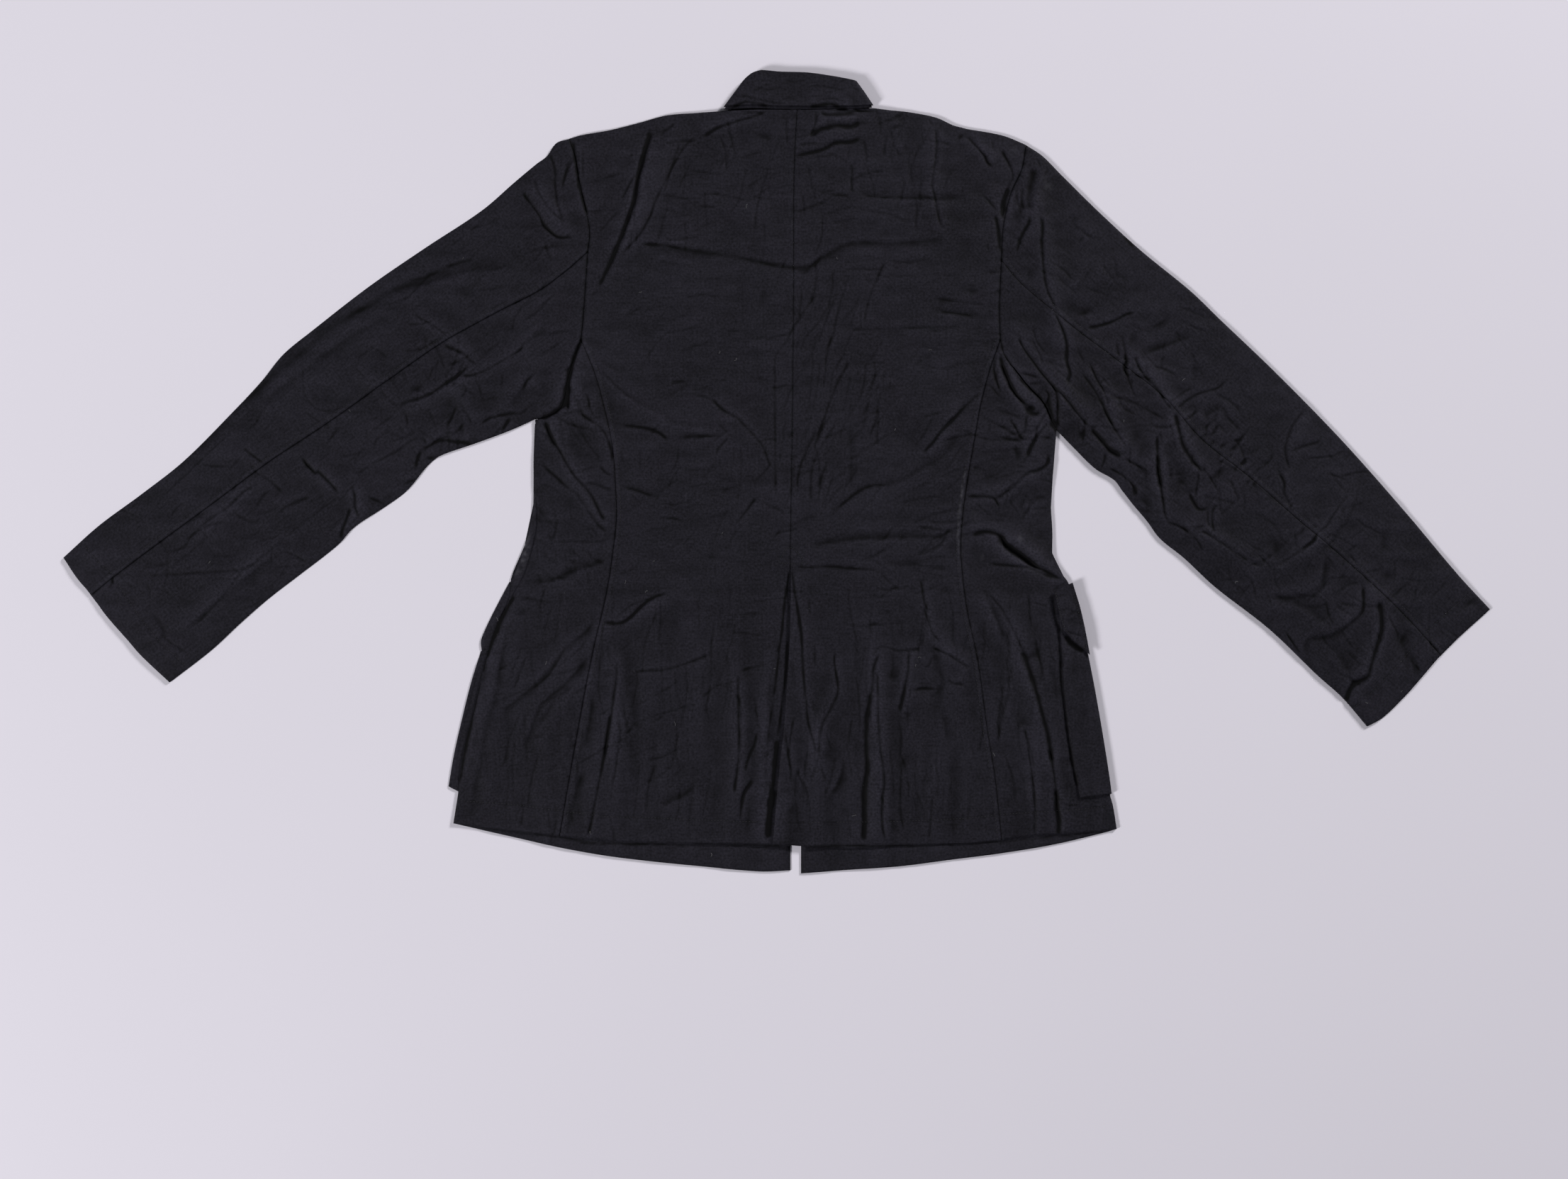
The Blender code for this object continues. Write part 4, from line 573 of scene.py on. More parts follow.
class Draft:
    """Drawing of smooth edges and of the panels between them."""

    @staticmethod
    def points(table: Table | Array) -> Array:
        """Turn a table into places, one in each row."""
        return np.array(table, dtype=float).reshape(-1, 2)

    @staticmethod
    def run(table: Table | Array, per_span: int = 14) -> Array:
        """Draw close places on a smooth curve through a table.

        Args:
            table: Places that the curve passes.
            per_span: Steps between two places of the table.

        Returns:
            The places on the curve, one in each row.
        """
        places = Draft.points(table)
        if len(places) == 2:
            return places[0] + (places[1] - places[0]) * np.linspace(0.0, 1.0, per_span + 1)[:, None]
        reach = Draft.reach(places)
        slopes = np.empty_like(places)
        slopes[1:-1] = (places[2:] - places[:-2]) / (reach[2:] - reach[:-2])[:, None]
        slopes[0] = (places[1] - places[0]) / (reach[1] - reach[0])
        slopes[-1] = (places[-1] - places[-2]) / (reach[-1] - reach[-2])
        share = np.linspace(0.0, 1.0, per_span, endpoint=False)[None, :, None]
        span = (reach[1:] - reach[:-1])[:, None, None]
        cube, square = share ** 3, share ** 2
        curve = (
            places[:-1, None] * (2 * cube - 3 * square + 1)
            + slopes[:-1, None] * span * (cube - 2 * square + share)
            + places[1:, None] * (3 * square - 2 * cube)
            + slopes[1:, None] * span * (cube - square)
        )
        return np.concatenate([curve.reshape(-1, 2), places[-1:]])

    @staticmethod
    def reach(run: Array) -> Array:
        """Distance of each place from the first one, along the run."""
        return np.concatenate([[0.0], np.cumsum(np.linalg.norm(np.diff(run, axis=0), axis=1))])

    @staticmethod
    def at(run: Array, wanted: Array) -> Array:
        """Places at the wanted distances along a run."""
        reach = Draft.reach(run)
        return np.stack([np.interp(wanted, reach, run[:, axis]) for axis in (0, 1)], axis=1)

    @staticmethod
    def joined(*tables: Table) -> Array:
        """Draw one close run along several tables that follow each other."""
        runs = [Draft.run(table) for table in tables]
        return np.concatenate([runs[0]] + [run[1:] for run in runs[1:]])

    @staticmethod
    def even(run: Array, steps: int) -> Array:
        """Place steps + 1 points evenly along a run."""
        return Draft.at(run, np.linspace(0.0, Draft.reach(run)[-1], steps + 1))

    @staticmethod
    def spread(steps: int, *tables: Table) -> Array:
        """Place steps + 1 points evenly along tables that follow each other."""
        return Draft.even(Draft.joined(*tables), steps)

    @staticmethod
    def parted(run: Array, share: float, before: int, behind: int) -> Array:
        """Place points evenly before a share of a run's length, and evenly behind it.

        Args:
            run: Places on the run.
            share: The share of its length.
            before: Steps up to there.
            behind: Steps from there on.

        Returns:
            The points, one in each row.
        """
        reach = Draft.reach(run)[-1]
        turn = share * reach
        spots = np.linspace(0.0, turn, before + 1), np.linspace(turn, reach, behind + 1)[1:]
        return Draft.at(run, np.concatenate(spots))

    @staticmethod
    def ruled(near: Array, far: Array, columns: int) -> Array:
        """Fill the space between two borders with straight rows."""
        over = np.linspace(0.0, 1.0, columns + 1)[None, :, None]
        return near[:, None] * (1.0 - over) + far[:, None] * over

    @staticmethod
    def patch(
        near: Array, far: Array, start: Array, end: Array, down: Array | None = None
    ) -> Array:
        """Fill the space between four borders.

        Args:
            near: First column, from start to end.
            far: Last column, from start to end.
            start: First row, from near to far.
            end: Last row, from near to far.
            down: Share of the way from start to end at each row, even if left out.

        Returns:
            The grid of places, rows by columns by 2.
        """
        if down is None:
            down = np.linspace(0.0, 1.0, len(near))
        down = down[:, None, None]
        over = np.linspace(0.0, 1.0, len(start))[None, :, None]
        corners = (1 - down) * ((1 - over) * start[0] + over * start[-1])
        corners = corners + down * ((1 - over) * end[0] + over * end[-1])
        ruled_over = (1 - over) * near[:, None] + over * far[:, None]
        ruled_down = (1 - down) * start[None] + down * end[None]
        return ruled_over + ruled_down - corners

    @staticmethod
    def relaxed(*borders: Array, turns: int = 40) -> Array:
        """Fill the space between four borders as patch does, and even out the places inside.

        Args:
            borders: The four borders, in the order of patch.
            turns: How often the places are evened out.

        Returns:
            The grid of places.
        """
        grid = Draft.patch(*borders)
        coarse = grid[::COARSE, ::COARSE]
        eased = coarse.copy()
        for _ in range(turns):
            across = eased[1:-1, :-2] + eased[1:-1, 2:]
            eased[1:-1, 1:-1] = (across + eased[:-2, 1:-1] + eased[2:, 1:-1]) / 4.0
        row, column = (np.arange(size) / COARSE for size in grid.shape[:2])
        up, over = (np.minimum(spot.astype(int), size - 2) for spot, size in zip((row, column), coarse.shape[:2]))
        down, right = (row - up)[:, None, None], (column - over)[None, :, None]
        return grid + blend(eased - coarse, up[:, None], over[None, :], down, right)

    @staticmethod
    def square(run: Array) -> Array:
        """Find the unit step to the left of a run's direction, at each of its places.

        Args:
            run: Places on the run.

        Returns:
            The steps, one in each row.
        """
        along = np.gradient(run, axis=0)
        square = np.stack([-along[:, 1], along[:, 0]], axis=1)
        return square / np.maximum(np.linalg.norm(square, axis=1), 1e-9)[:, None]

    @staticmethod
    def drawn_in(edge: Array, inner: Array, distance: float) -> Array:
        """Move a border towards the places inside it, square to its own run.

        Args:
            edge: The border.
            inner: A place inside it for each of its own.
            distance: How far it moves.

        Returns:
            The moved border.
        """
        square = Draft.square(edge)
        side = 1.0 if np.sum(square * (inner - edge)) > 0.0 else -1.0
        return edge + square * side * distance

    @staticmethod
    def inset(grid: Array, near: float = 0.0, far: float = 0.0, start: float = 0.0) -> Array:
        """Draw in a patch's borders, which leaves the air at its seams.

        Args:
            grid: The patch.
            near: How far its first column moves.
            far: How far its last column moves.
            start: How far its first row moves.

        Returns:
            The patch with its new borders.
        """
        moved = grid.copy()
        if near:
            moved[:, 0] = Draft.drawn_in(grid[:, 0], grid[:, 1], near)
        if far:
            moved[:, -1] = Draft.drawn_in(grid[:, -1], grid[:, -2], far)
        if start:
            moved[0] += Draft.drawn_in(grid[0], grid[1], start) - grid[0]
        return moved


class Relief:
    """Heights of the laid cloth, its pale marks and its painted crease shading, on a raster of one-millimetre cells.
    """

    LOW = np.array([-724.0, -414.0])
    HIGH = np.array([724.0, 414.0])
    TOWARDS_LIGHT = np.array([0.86, 0.51])
    RIM_REACH = 80.0
    DEEP_INSIDE = 90.0
    RIM_STEP = 8.0
    SEAM_REACH = 14.0
    HIGHEST_SWELL = 8.0
    FOLD_REACH = 2.6
    FOLD_END = 0.12
    CREASE_REACH = 4.5
    FAR_RIDGE = 0.3
    SWAY = 0.1
    SWAY_LENGTH = 11.0
    FIRMER_SHARE = 0.3
    BOW = 0.16
    SKIRT_TOP = (-90.0, -190.0)
    SKIRT_SIDES = (345.0, 300.0)
    SEAM_END = 0.2
    PUCKER_WIDTH = 5.5
    STITCH_DENT = 0.26
    STITCH_WIDTH = 0.8
    MARK_END = 0.2
    FINE, BROAD = 2.6, 8.0
    NECK_RISE = 1.75
    NECK_WIDTH = 26.0
    RIM_ROUND = 0.5
    RIM_WIDTH = 1.3
    RIM_FOLDS, RIM_FOLDS_WIDTH = 0.35, 15.0
    RIM_RISE_WIDTH = 22.0
    RIM_DETAIL, RIM_DETAIL_WIDTH = 0.45, 9.0
    # Strengths of the painted crease shading: fine and broad painted shade in hollows, and the share of painted light
    # on proud places.
    FINE_HOLLOW, BROAD_HOLLOW, PROUD_SHARE = 1.15, 0.42, 0.7
    PUCKER_PITCH, PUCKER_DRIFT, PUCKER_CALM = 2.1, 17.0, 31.0

    def __init__(self) -> None:
        """Lay out the raster and paint the garment's whole lie on it."""
        self.across = np.arange(self.LOW[0], self.HIGH[0] + 1.0)
        self.up = np.arange(self.LOW[1], self.HIGH[1] + 1.0)
        shape = (len(self.up), len(self.across))
        # The third layer holds pale marks, rubbed wear and a painted sheen; the fourth holds painted shade in the
        # creases and painted light on the ridges.
        self.swell, self.detail, self.wear, self.crease_shading = (np.zeros(shape) for _ in range(4))
        self.inside, self.to_neck = (np.full(shape, self.DEEP_INSIDE) for _ in range(2))
        self.stray = self._chance((1.25, 17.0, 17.0, 41), (0.55, 6.0, 6.0, 43))
        self.uneven = 1.0 + self._chance((0.42, 24.0, 24.0, 47), (0.2, 8.0, 8.0, 53))
        self._measure_rim()
        for fold in FOLDS:
            self._raise(fold)
        self._crumple()

    def _window(self, low: Array, high: Array) -> Window:
        """Find the part of the raster between two corners.

        Args:
            low: The lower left corner, in mm.
            high: The upper right one.

        Returns:
            The rows and the columns.
        """
        first = np.clip(np.floor(low - self.LOW).astype(int), 0, None)
        last = np.ceil(high - self.LOW).astype(int) + 1
        rows = slice(int(first[1]), int(min(last[1], len(self.up))))
        return rows, slice(int(first[0]), int(min(last[0], len(self.across))))

    def _nearest(self, run: Array, reach: float) -> tuple[Window, Array, Array, Array]:
        """Measure the cells near a run.

        Args:
            run: Places that the run passes.
            reach: Furthest distance that is measured, in mm.

        Returns:
            The window on the raster, and in it each cell's distance from the run, its side
            (1 to the left of the run) and how far along the run it lies, in mm.
        """
        window = self._window(run.min(axis=0) - reach, run.max(axis=0) + reach)
        shape = tuple(part.stop - part.start for part in window)
        gap, side, along = np.full(shape, 1e3), np.ones(shape), np.zeros(shape)
        for first, second, passed in zip(run[:-1], run[1:], Draft.reach(run)):
            rows, columns = self._window(np.minimum(first, second) - reach, np.maximum(first, second) + reach)
            local = tuple(
                slice(part.start - whole.start, part.stop - whole.start)
                for part, whole in zip((rows, columns), window)
            )
            step = second - first
            length = float(step @ step)
            if length < 1e-9:
                continue
            over = (self.across[columns] - first[0])[None, :]
            rise = (self.up[rows] - first[1])[:, None]
            share = np.clip((over * step[0] + rise * step[1]) / length, 0.0, 1.0)
            left = np.where(step[0] * rise - step[1] * over >= 0.0, 1.0, -1.0)
            away = np.hypot(over - share * step[0], rise - share * step[1])
            closer = away < gap[local]
            for layer, value in ((gap, away), (side, left), (along, passed + share * math.sqrt(length))):
                layer[local] = np.where(closer, value, layer[local])
        return window, gap, side, along

    def _mark(self, layer: Array, run: Array) -> None:
        """Lower a layer to the cells' distances from a run."""
        window, gap, _, _ = self._nearest(run, self.RIM_REACH)
        layer[window] = np.minimum(layer[window], gap)

    def _measure_rim(self) -> None:
        """Measure how far each cell lies inside the back layer's rim and from the neck."""
        for half in (LEFT, RIGHT):
            for table in (
                half.shoulder, half.sleeve_outer, half.cuff_outer, half.cuff_inner, half.sleeve_inner,
                half.side, half.side_hem, half.back_hem,
            ):
                length = Draft.reach(Draft.points(table))[-1]
                self._mark(self.inside, Draft.spread(max(2, int(length / self.RIM_STEP)), table))
            self._mark(self.to_neck, Draft.spread(10, half.neck))

    def _raise(self, fold: Fold) -> None:
        """Paint one broad fold, highest in its middle.

        Args:
            fold: The fold.
        """
        first, second, third = Draft.points(fold.crest)
        bend = 2.0 * second - (first + third) / 2.0
        share = np.linspace(0.0, 1.0, 13)[:, None]
        crest = (1 - share) ** 2 * first + 2 * share * (1 - share) * bend + share ** 2 * third
        window, gap, _, along = self._nearest(crest, fold.width * self.FOLD_REACH)
        share = along / Draft.reach(crest)[-1]
        taper = np.sin(np.pi * (self.FOLD_END + (1.0 - 2.0 * self.FOLD_END) * share))
        self.swell[window] += fold.height * taper * bell(gap, fold.width)

    def _lattice(self, step_across: float, step_up: float, seed: int) -> Array:
        """Smooth uneven heights between -1 and 1 over the whole raster.

        Args:
            step_across: Distance between the lattice's places across, in mm.
            step_up: The same distance up.
            seed: Number that fixes the unevenness.

        Returns:
            One height for each cell.
        """
        chance = np.random.default_rng(seed)
        over, rise = (self.across - self.LOW[0]) / step_across, (self.up - self.LOW[1]) / step_up
        values = chance.uniform(-1.0, 1.0, (int(rise[-1]) + 3, int(over[-1]) + 3))
        over, rise = over[None, :], rise[:, None]
        column, row = over.astype(int), rise.astype(int)
        return blend(values, row, column, smooth_step(0.0, 1.0, rise - row), smooth_step(0.0, 1.0, over - column))

    def _chance(self, *layers: tuple[float, float, float, int]) -> Array:
        """Add up lattices, each given by its strength, its two steps and its seed."""
        return sum(strength * self._lattice(*rest) for strength, *rest in layers)

    def _crumple(self) -> None:
        """Paint the fine unevenness of worn cotton: level in the back, upright in the skirt."""
        skirt = smooth_step(*self.SKIRT_TOP, self.up)[:, None] * smooth_step(*self.SKIRT_SIDES, np.abs(self.across))
        level = self._chance((0.62, 58.0, 24.0, 3), (0.30, 27.0, 9.0, 5))
        upright = self._chance((0.80, 20.0, 95.0, 7), (0.36, 9.0, 44.0, 11))
        fine = self._chance((0.22, 13.0, 11.0, 13), (0.13, 5.5, 5.0, 17))
        self.detail += level * (1.0 - skirt) + upright * skirt + fine

    def press(self, press: Press, path: Table | Array, turn: int, loose: float = 0.4) -> None:
        """Paint one crease, with its ridge on the side towards the stronger light.

        Args:
            press: How hard it is pressed.
            path: The places that it passes.
            turn: Its number, which varies how evenly it runs.
            loose: Share of the raster's unsteadiness that it follows.
        """
        form = press.value
        run = Draft.run(path, 6)
        window, gap, side, along = self._nearest(run, form.crown * self.CREASE_REACH)
        middle = Draft.square(run)[len(run) // 2]
        lit = 1.0 if float(middle @ self.TOWARDS_LIGHT) >= 0.0 else -1.0
        length = Draft.reach(run)[-1]
        share = along / length
        ends = min(0.5, form.fade / length)
        taper = smooth_step(0.0, ends, share) * smooth_step(1.0, 1.0 - ends, share)
        uneven = 1.0 + (self.uneven[window] - 1.0) * min(1.0, 2.0 / form.valley)
        sway = self.SWAY * np.sin(along / self.SWAY_LENGTH + 1.7 * turn)
        taper = taper * uneven * (1.0 - self.SWAY + sway)
        away = gap * side * lit + self.stray[window] * loose
        width = form.valley * uneven * np.where(away > 0.0, 1.0 + form.lean, 1.0 - form.lean)
        hump = np.abs(away) / form.crown
        hump = hump * np.exp(1.0 - hump) * np.where(away > 0.0, 1.0, self.FAR_RIDGE)
        self.detail[window] += (form.ridge * hump - form.depth * bell(away, width)) * taper

    def crackle(self, patch: Crackle, seed: int) -> None:
        """Scatter the fine creases of a patch.

        Args:
            patch: The patch.
            seed: Number that fixes their places.
        """
        chance = np.random.default_rng(seed)
        firmer, softer = (Press.FOLD, Press.FAINT) if patch.firm else (Press.FAINT, Press.HAIR)
        size = np.array([patch.half_width, patch.half_height])
        for turn in range(patch.number):
            middle = np.array([patch.across, patch.up]) + chance.uniform(-1.0, 1.0, 2) * size
            angle = math.radians(patch.angle + chance.normal(0.0, patch.spread))
            way = np.array([math.cos(angle), math.sin(angle)])
            half = chance.uniform(0.25, 0.5) * patch.longest
            bow = np.array([-way[1], way[0]]) * chance.uniform(-self.BOW, self.BOW) * half
            press = firmer if chance.random() < self.FIRMER_SHARE else softer
            self.press(press, np.array([middle - way * half, middle + bow, middle + way * half]), turn, 1.0)

    def sew(self, seam: Seam) -> None:
        """Paint a seam's groove, the padding of its turnings and its puckers.

        Args:
            seam: The seam.
        """
        run = Draft.run(seam.path, 8)
        window, gap, side, along = self._nearest(run, self.SEAM_REACH)
        length = Draft.reach(run)[-1]
        inside = np.where(np.minimum(along, length - along) > self.SEAM_END, 1.0, np.exp(-gap / 2.0))
        wave = np.sin(along / self.PUCKER_PITCH + 2.0 * np.sin(along / self.PUCKER_DRIFT))
        wave = wave * np.sin(along / self.PUCKER_CALM + 1.0)
        groove = seam.pucker * wave * bell(gap, self.PUCKER_WIDTH) - seam.depth * bell(gap, seam.width)
        if seam.offset:
            away = gap * side * np.sign(seam.offset)
            row = abs(seam.offset)
            band = smooth_step(0.4, 1.6, away) * smooth_step(row + 0.6, row - 0.6, away)
            groove = groove + seam.padding * band - self.STITCH_DENT * bell(away - row, self.STITCH_WIDTH)
        self.detail[window] += groove * inside

    def paint_pale_mark(self, place: PaleMark) -> None:
        """Paint a pale mark, rubbed wear or a painted sheen, weaker at its ends.

        Args:
            place: The pale mark.
        """
        run = Draft.run(place.path, 8)
        window, gap, _, along = self._nearest(run, place.width * 3.0)
        share = along / max(Draft.reach(run)[-1], 1e-6)
        ends = smooth_step(0.0, self.MARK_END, share) * smooth_step(1.0, 1.0 - self.MARK_END, share)
        self.wear[window] = np.maximum(self.wear[window], place.strength * bell(gap, place.width) * ends)

    @staticmethod
    def _softened(layer: Array, width: float) -> Array:
        """Blur a layer of the raster, up and then across.

        Args:
            layer: The layer.
            width: The bell's width, in mm.

        Returns:
            The blurred layer.
        """
        reach = int(math.ceil(width * 2.5))
        shares = np.exp(-0.5 * (np.arange(-reach, reach + 1) / width) ** 2)
        shares /= shares.sum()
        for _ in range(2):
            padded = np.pad(layer, ((reach, reach), (0, 0)), mode="edge")
            layer = sum(share * padded[step:step + len(layer)] for step, share in enumerate(shares)).T
        return layer

    def settle(self) -> None:
        """Work out the painted shade where the cloth lies hollow and the painted light where it stands proud, finely
        and broadly.
        """
        height = self.swell + self.detail
        fine, broad = self._softened(height, self.FINE), self._softened(height, self.BROAD)
        crease_shading = (fine - height) * self.FINE_HOLLOW + (broad - fine) * self.BROAD_HOLLOW
        self.crease_shading = np.where(crease_shading < 0.0, crease_shading * self.PROUD_SHARE, crease_shading)

    def read(self, layer: Array, places: Array) -> Array:
        """Read a layer of the raster between its cells.

        Args:
            layer: The layer.
            places: Places in mm.

        Returns:
            One value for each place.
        """
        spot = np.clip(places[..., :2] - self.LOW, 0.0, self.HIGH - self.LOW - 1.001)
        cell = spot.astype(int)
        part = spot - cell
        return blend(layer, cell[..., 1], cell[..., 0], part[..., 1], part[..., 0])

    def tops(self, places: Array) -> Array:
        """Find the heights of the back layer's outer face.

        Args:
            places: Places in mm.

        Returns:
            One height for each place.
        """
        inside = self.read(self.inside, places)
        fade = self.RIM_FOLDS + (1.0 - self.RIM_FOLDS) * (1.0 - np.exp(-inside / self.RIM_FOLDS_WIDTH))
        height = EDGE_TOP + EDGE_RISE * (1.0 - np.exp(-inside / self.RIM_RISE_WIDTH))
        height = height + self.read(self.swell, places) * fade
        height = height + self.NECK_RISE * bell(self.read(self.to_neck, places), self.NECK_WIDTH)
        height = np.clip(height, EDGE_TOP, self.HIGHEST_SWELL)
        fade = self.RIM_DETAIL + (1.0 - self.RIM_DETAIL) * smooth_step(0.0, self.RIM_DETAIL_WIDTH, inside)
        height = height + self.read(self.detail, places) * fade
        return np.clip(height - self.RIM_ROUND * bell(inside, self.RIM_WIDTH), LOWEST_TOP, HIGHEST_FOLD)

    def waves(self, places: Array, share: float, low: float, high: float) -> Array:
        """A share of the painted detail, held between two heights."""
        return np.clip(share * self.read(self.detail, places), low, high)


VENT_STITCHES: Table = (0.9, -89.4, 12.8, -74, 26.1, -89.4, 0.9, -89.4)
LEFT_HEM_STITCHES: Table = (
    -313.4, -323.9, -258, -328.1, -213.3, -334, -168.5, -339.3, -123.7, -340.7, -78.9, -342.8, -12.4, -344.9,
)
RIGHT_HEM_STITCHES: Table = (
    5, -345.6, 31.7, -345.6, 120.6, -344.2, 184.3, -341.4, 218.6, -337.9, 255.7, -335.1, 299.1, -332.3, 329.2, -328.8,
)
LEFT_CUFF_STITCHES: Table = (
    -684.4, -71.2, -665.5, -92.2, -657.1, -99.2, -648, -113.2, -633.3, -135.6, -613, -162.2, -585, -189.5,
)
RIGHT_CUFF_STITCHES: Table = (685.5, -117.4, 646.3, -152.4, 619.7, -181.8, 590.3, -214, 567.2, -234.3)
LEFT_THREAD_TUCK: Table = (-655, -104.1, -657.1, -113.2)
RIGHT_THREAD_ENDS: Table = (644.9, -165.7, 649.1, -180.4)
FLAP_STITCHES: Table = (
    274.5, -117.6, 278.5, -135.5, 284, -154, 295.5, -165, 305, -174, 302.3, -161, 296.8, -136.5, 290.5, -113,
)
POCKET_PLEAT: Table = (278.1, -155.9, 280.9, -207, 288.6, -270.7, 296.3, -308.5)
LEFT_POCKET_MITRE: Table = (-323.9, -310.6, -312, -300.1)

SEAMS: tuple[Seam, ...] = (
    Seam(CENTRE_SEAM, depth=0.45, width=1.0, padding=0.14),
    Seam(LEFT.princess, depth=0.5, width=1.0, offset=4.2, padding=0.28),
    Seam(RIGHT.princess, depth=0.5, width=1.0, offset=-4.2, padding=0.28),
    Seam(LEFT.elbow, depth=0.5, width=1.0, offset=-4.6, padding=0.2),
    Seam(RIGHT.elbow, depth=0.5, width=1.0, offset=4.6, padding=0.2),
    *(
        Seam(table, depth=0.75, width=1.3, pucker=0.2)
        for half in (LEFT, RIGHT)
        for table in (half.cap, half.armhole_back, half.armhole_under, half.gusset)
    ),
    *(
        Seam(table, depth=0.34, width=0.9, pucker=0.12)
        for table in (LEFT_HEM_STITCHES, RIGHT_HEM_STITCHES, LEFT_CUFF_STITCHES, RIGHT_CUFF_STITCHES)
    ),
    Seam(VENT_STITCHES, depth=0.3, width=0.7, pucker=0.0),
    Seam(LEFT_THREAD_TUCK, depth=0.5, width=1.2, pucker=0.0),
    Seam(FLAP_STITCHES, depth=0.3, width=0.8, pucker=0.08),
    Seam(POCKET_PLEAT, depth=0.9, width=1.6, pucker=0.1),
    Seam(LEFT_POCKET_MITRE, depth=0.6, width=1.2, pucker=0.0),
)


class Wire:
    """A shader socket on which Python's operators add Math nodes."""

    def __init__(self, shader: "Shader", socket: bpy.types.NodeSocket) -> None:
        """Wrap a socket of a shader's node."""
        self.shader = shader
        self.socket = socket

    def maths(self, operation: str, first: "Wire | float", second: "Wire | float" = 0.0) -> "Wire":
        """Add one Math node of the named operation and return its result."""
        return self.shader.node("ShaderNodeMath", {"operation": operation}, {0: first, 1: second})

    def __add__(self, other: "Wire | float") -> "Wire":
        """Add."""
        return self.maths("ADD", self, other)

    __radd__ = __add__

    def __sub__(self, other: "Wire | float") -> "Wire":
        """Subtract."""
        return self.maths("SUBTRACT", self, other)

    def __rsub__(self, other: float) -> "Wire":
        """Subtract from a number."""
        return self.maths("SUBTRACT", other, self)

    def __mul__(self, other: "Wire | float") -> "Wire":
        """Multiply."""
        return self.maths("MULTIPLY", self, other)

    def __gt__(self, other: float) -> "Wire":
        """Compare with a number: 1 where greater."""
        return self.maths("GREATER_THAN", self, other)

    def __lt__(self, other: float) -> "Wire":
        """Compare with a number: 1 where less."""
        return self.maths("LESS_THAN", self, other)

    def wave(self) -> "Wire":
        """Take the sine."""
        return self.maths("SINE", self)

    def between(self, low: float, high: float) -> "Wire":
        """Rise smoothly from 0 at low to 1 at high."""
        settings = {"interpolation_type": "SMOOTHSTEP"}
        return self.shader.node("ShaderNodeMapRange", settings, {0: self, 1: low, 2: high})


class Shader:
    """A material whose nodes are added one by one."""

    def __init__(self, name: str) -> None:
        """Start an empty material.

        Args:
            name: The material's name.
        """
        self.material = bpy.data.materials.new(name)
        self.material.use_nodes = True
        self.tree = self.material.node_tree
        self.tree.nodes.clear()

    def node(
        self, kind: str, settings: dict[str, object], sockets: dict[int | str, object], out: int | str = 0
    ) -> Wire:
        """Add a node.

        Args:
            kind: Blender's type name of the node.
            settings: Its properties, set before its sockets.
            sockets: Values or links of its input sockets.
            out: The output that is wanted.

        Returns:
            The wanted output's socket.
        """
        made = self.tree.nodes.new(kind)
        for name, value in settings.items():
            setattr(made, name, value)
        for name, value in sockets.items():
            if isinstance(value, Wire):
                self.tree.links.new(value.socket, made.inputs[name])
            else:
                made.inputs[name].default_value = value
        return Wire(self, made.outputs[out] if made.outputs else made.inputs[0])

    def mixed(self, share: Wire, first: object, second: object) -> Wire:
        """Mix two colours by a share."""
        return self.node("ShaderNodeMix", {"data_type": "RGBA"}, {0: share, 6: first, 7: second}, 2)

    def noise(self, place: Wire, scale: float, detail: float = 2.0) -> Wire:
        """Soft unevenness between 0 and 1."""
        return self.node("ShaderNodeTexNoise", {}, {"Vector": place, "Scale": scale, "Detail": detail})

    def yarn(self, place: Wire, across: float, along: float) -> Wire:
        """Unevenness drawn out along the cloth's threads."""
        drawn = self.node("ShaderNodeMapping", {}, {"Vector": place, "Scale": (across, along, 1.0)})
        return self.noise(drawn, 1.0, 3.0)

    def painted(self, name: str) -> Wire:
        """Read a layer that was painted on the mesh."""
        return self.node("ShaderNodeAttribute", {"attribute_name": name}, {}, "Fac")

    def surface(self, sockets: dict[int | str, object]) -> bpy.types.Material:
        """Close the material with a Principled surface.

        Args:
            sockets: Values or links of the surface's sockets.

        Returns:
            The material.
        """
        face = self.node("ShaderNodeBsdfPrincipled", {}, sockets)
        self.node("ShaderNodeOutputMaterial", {}, {"Surface": face})
        return self.material


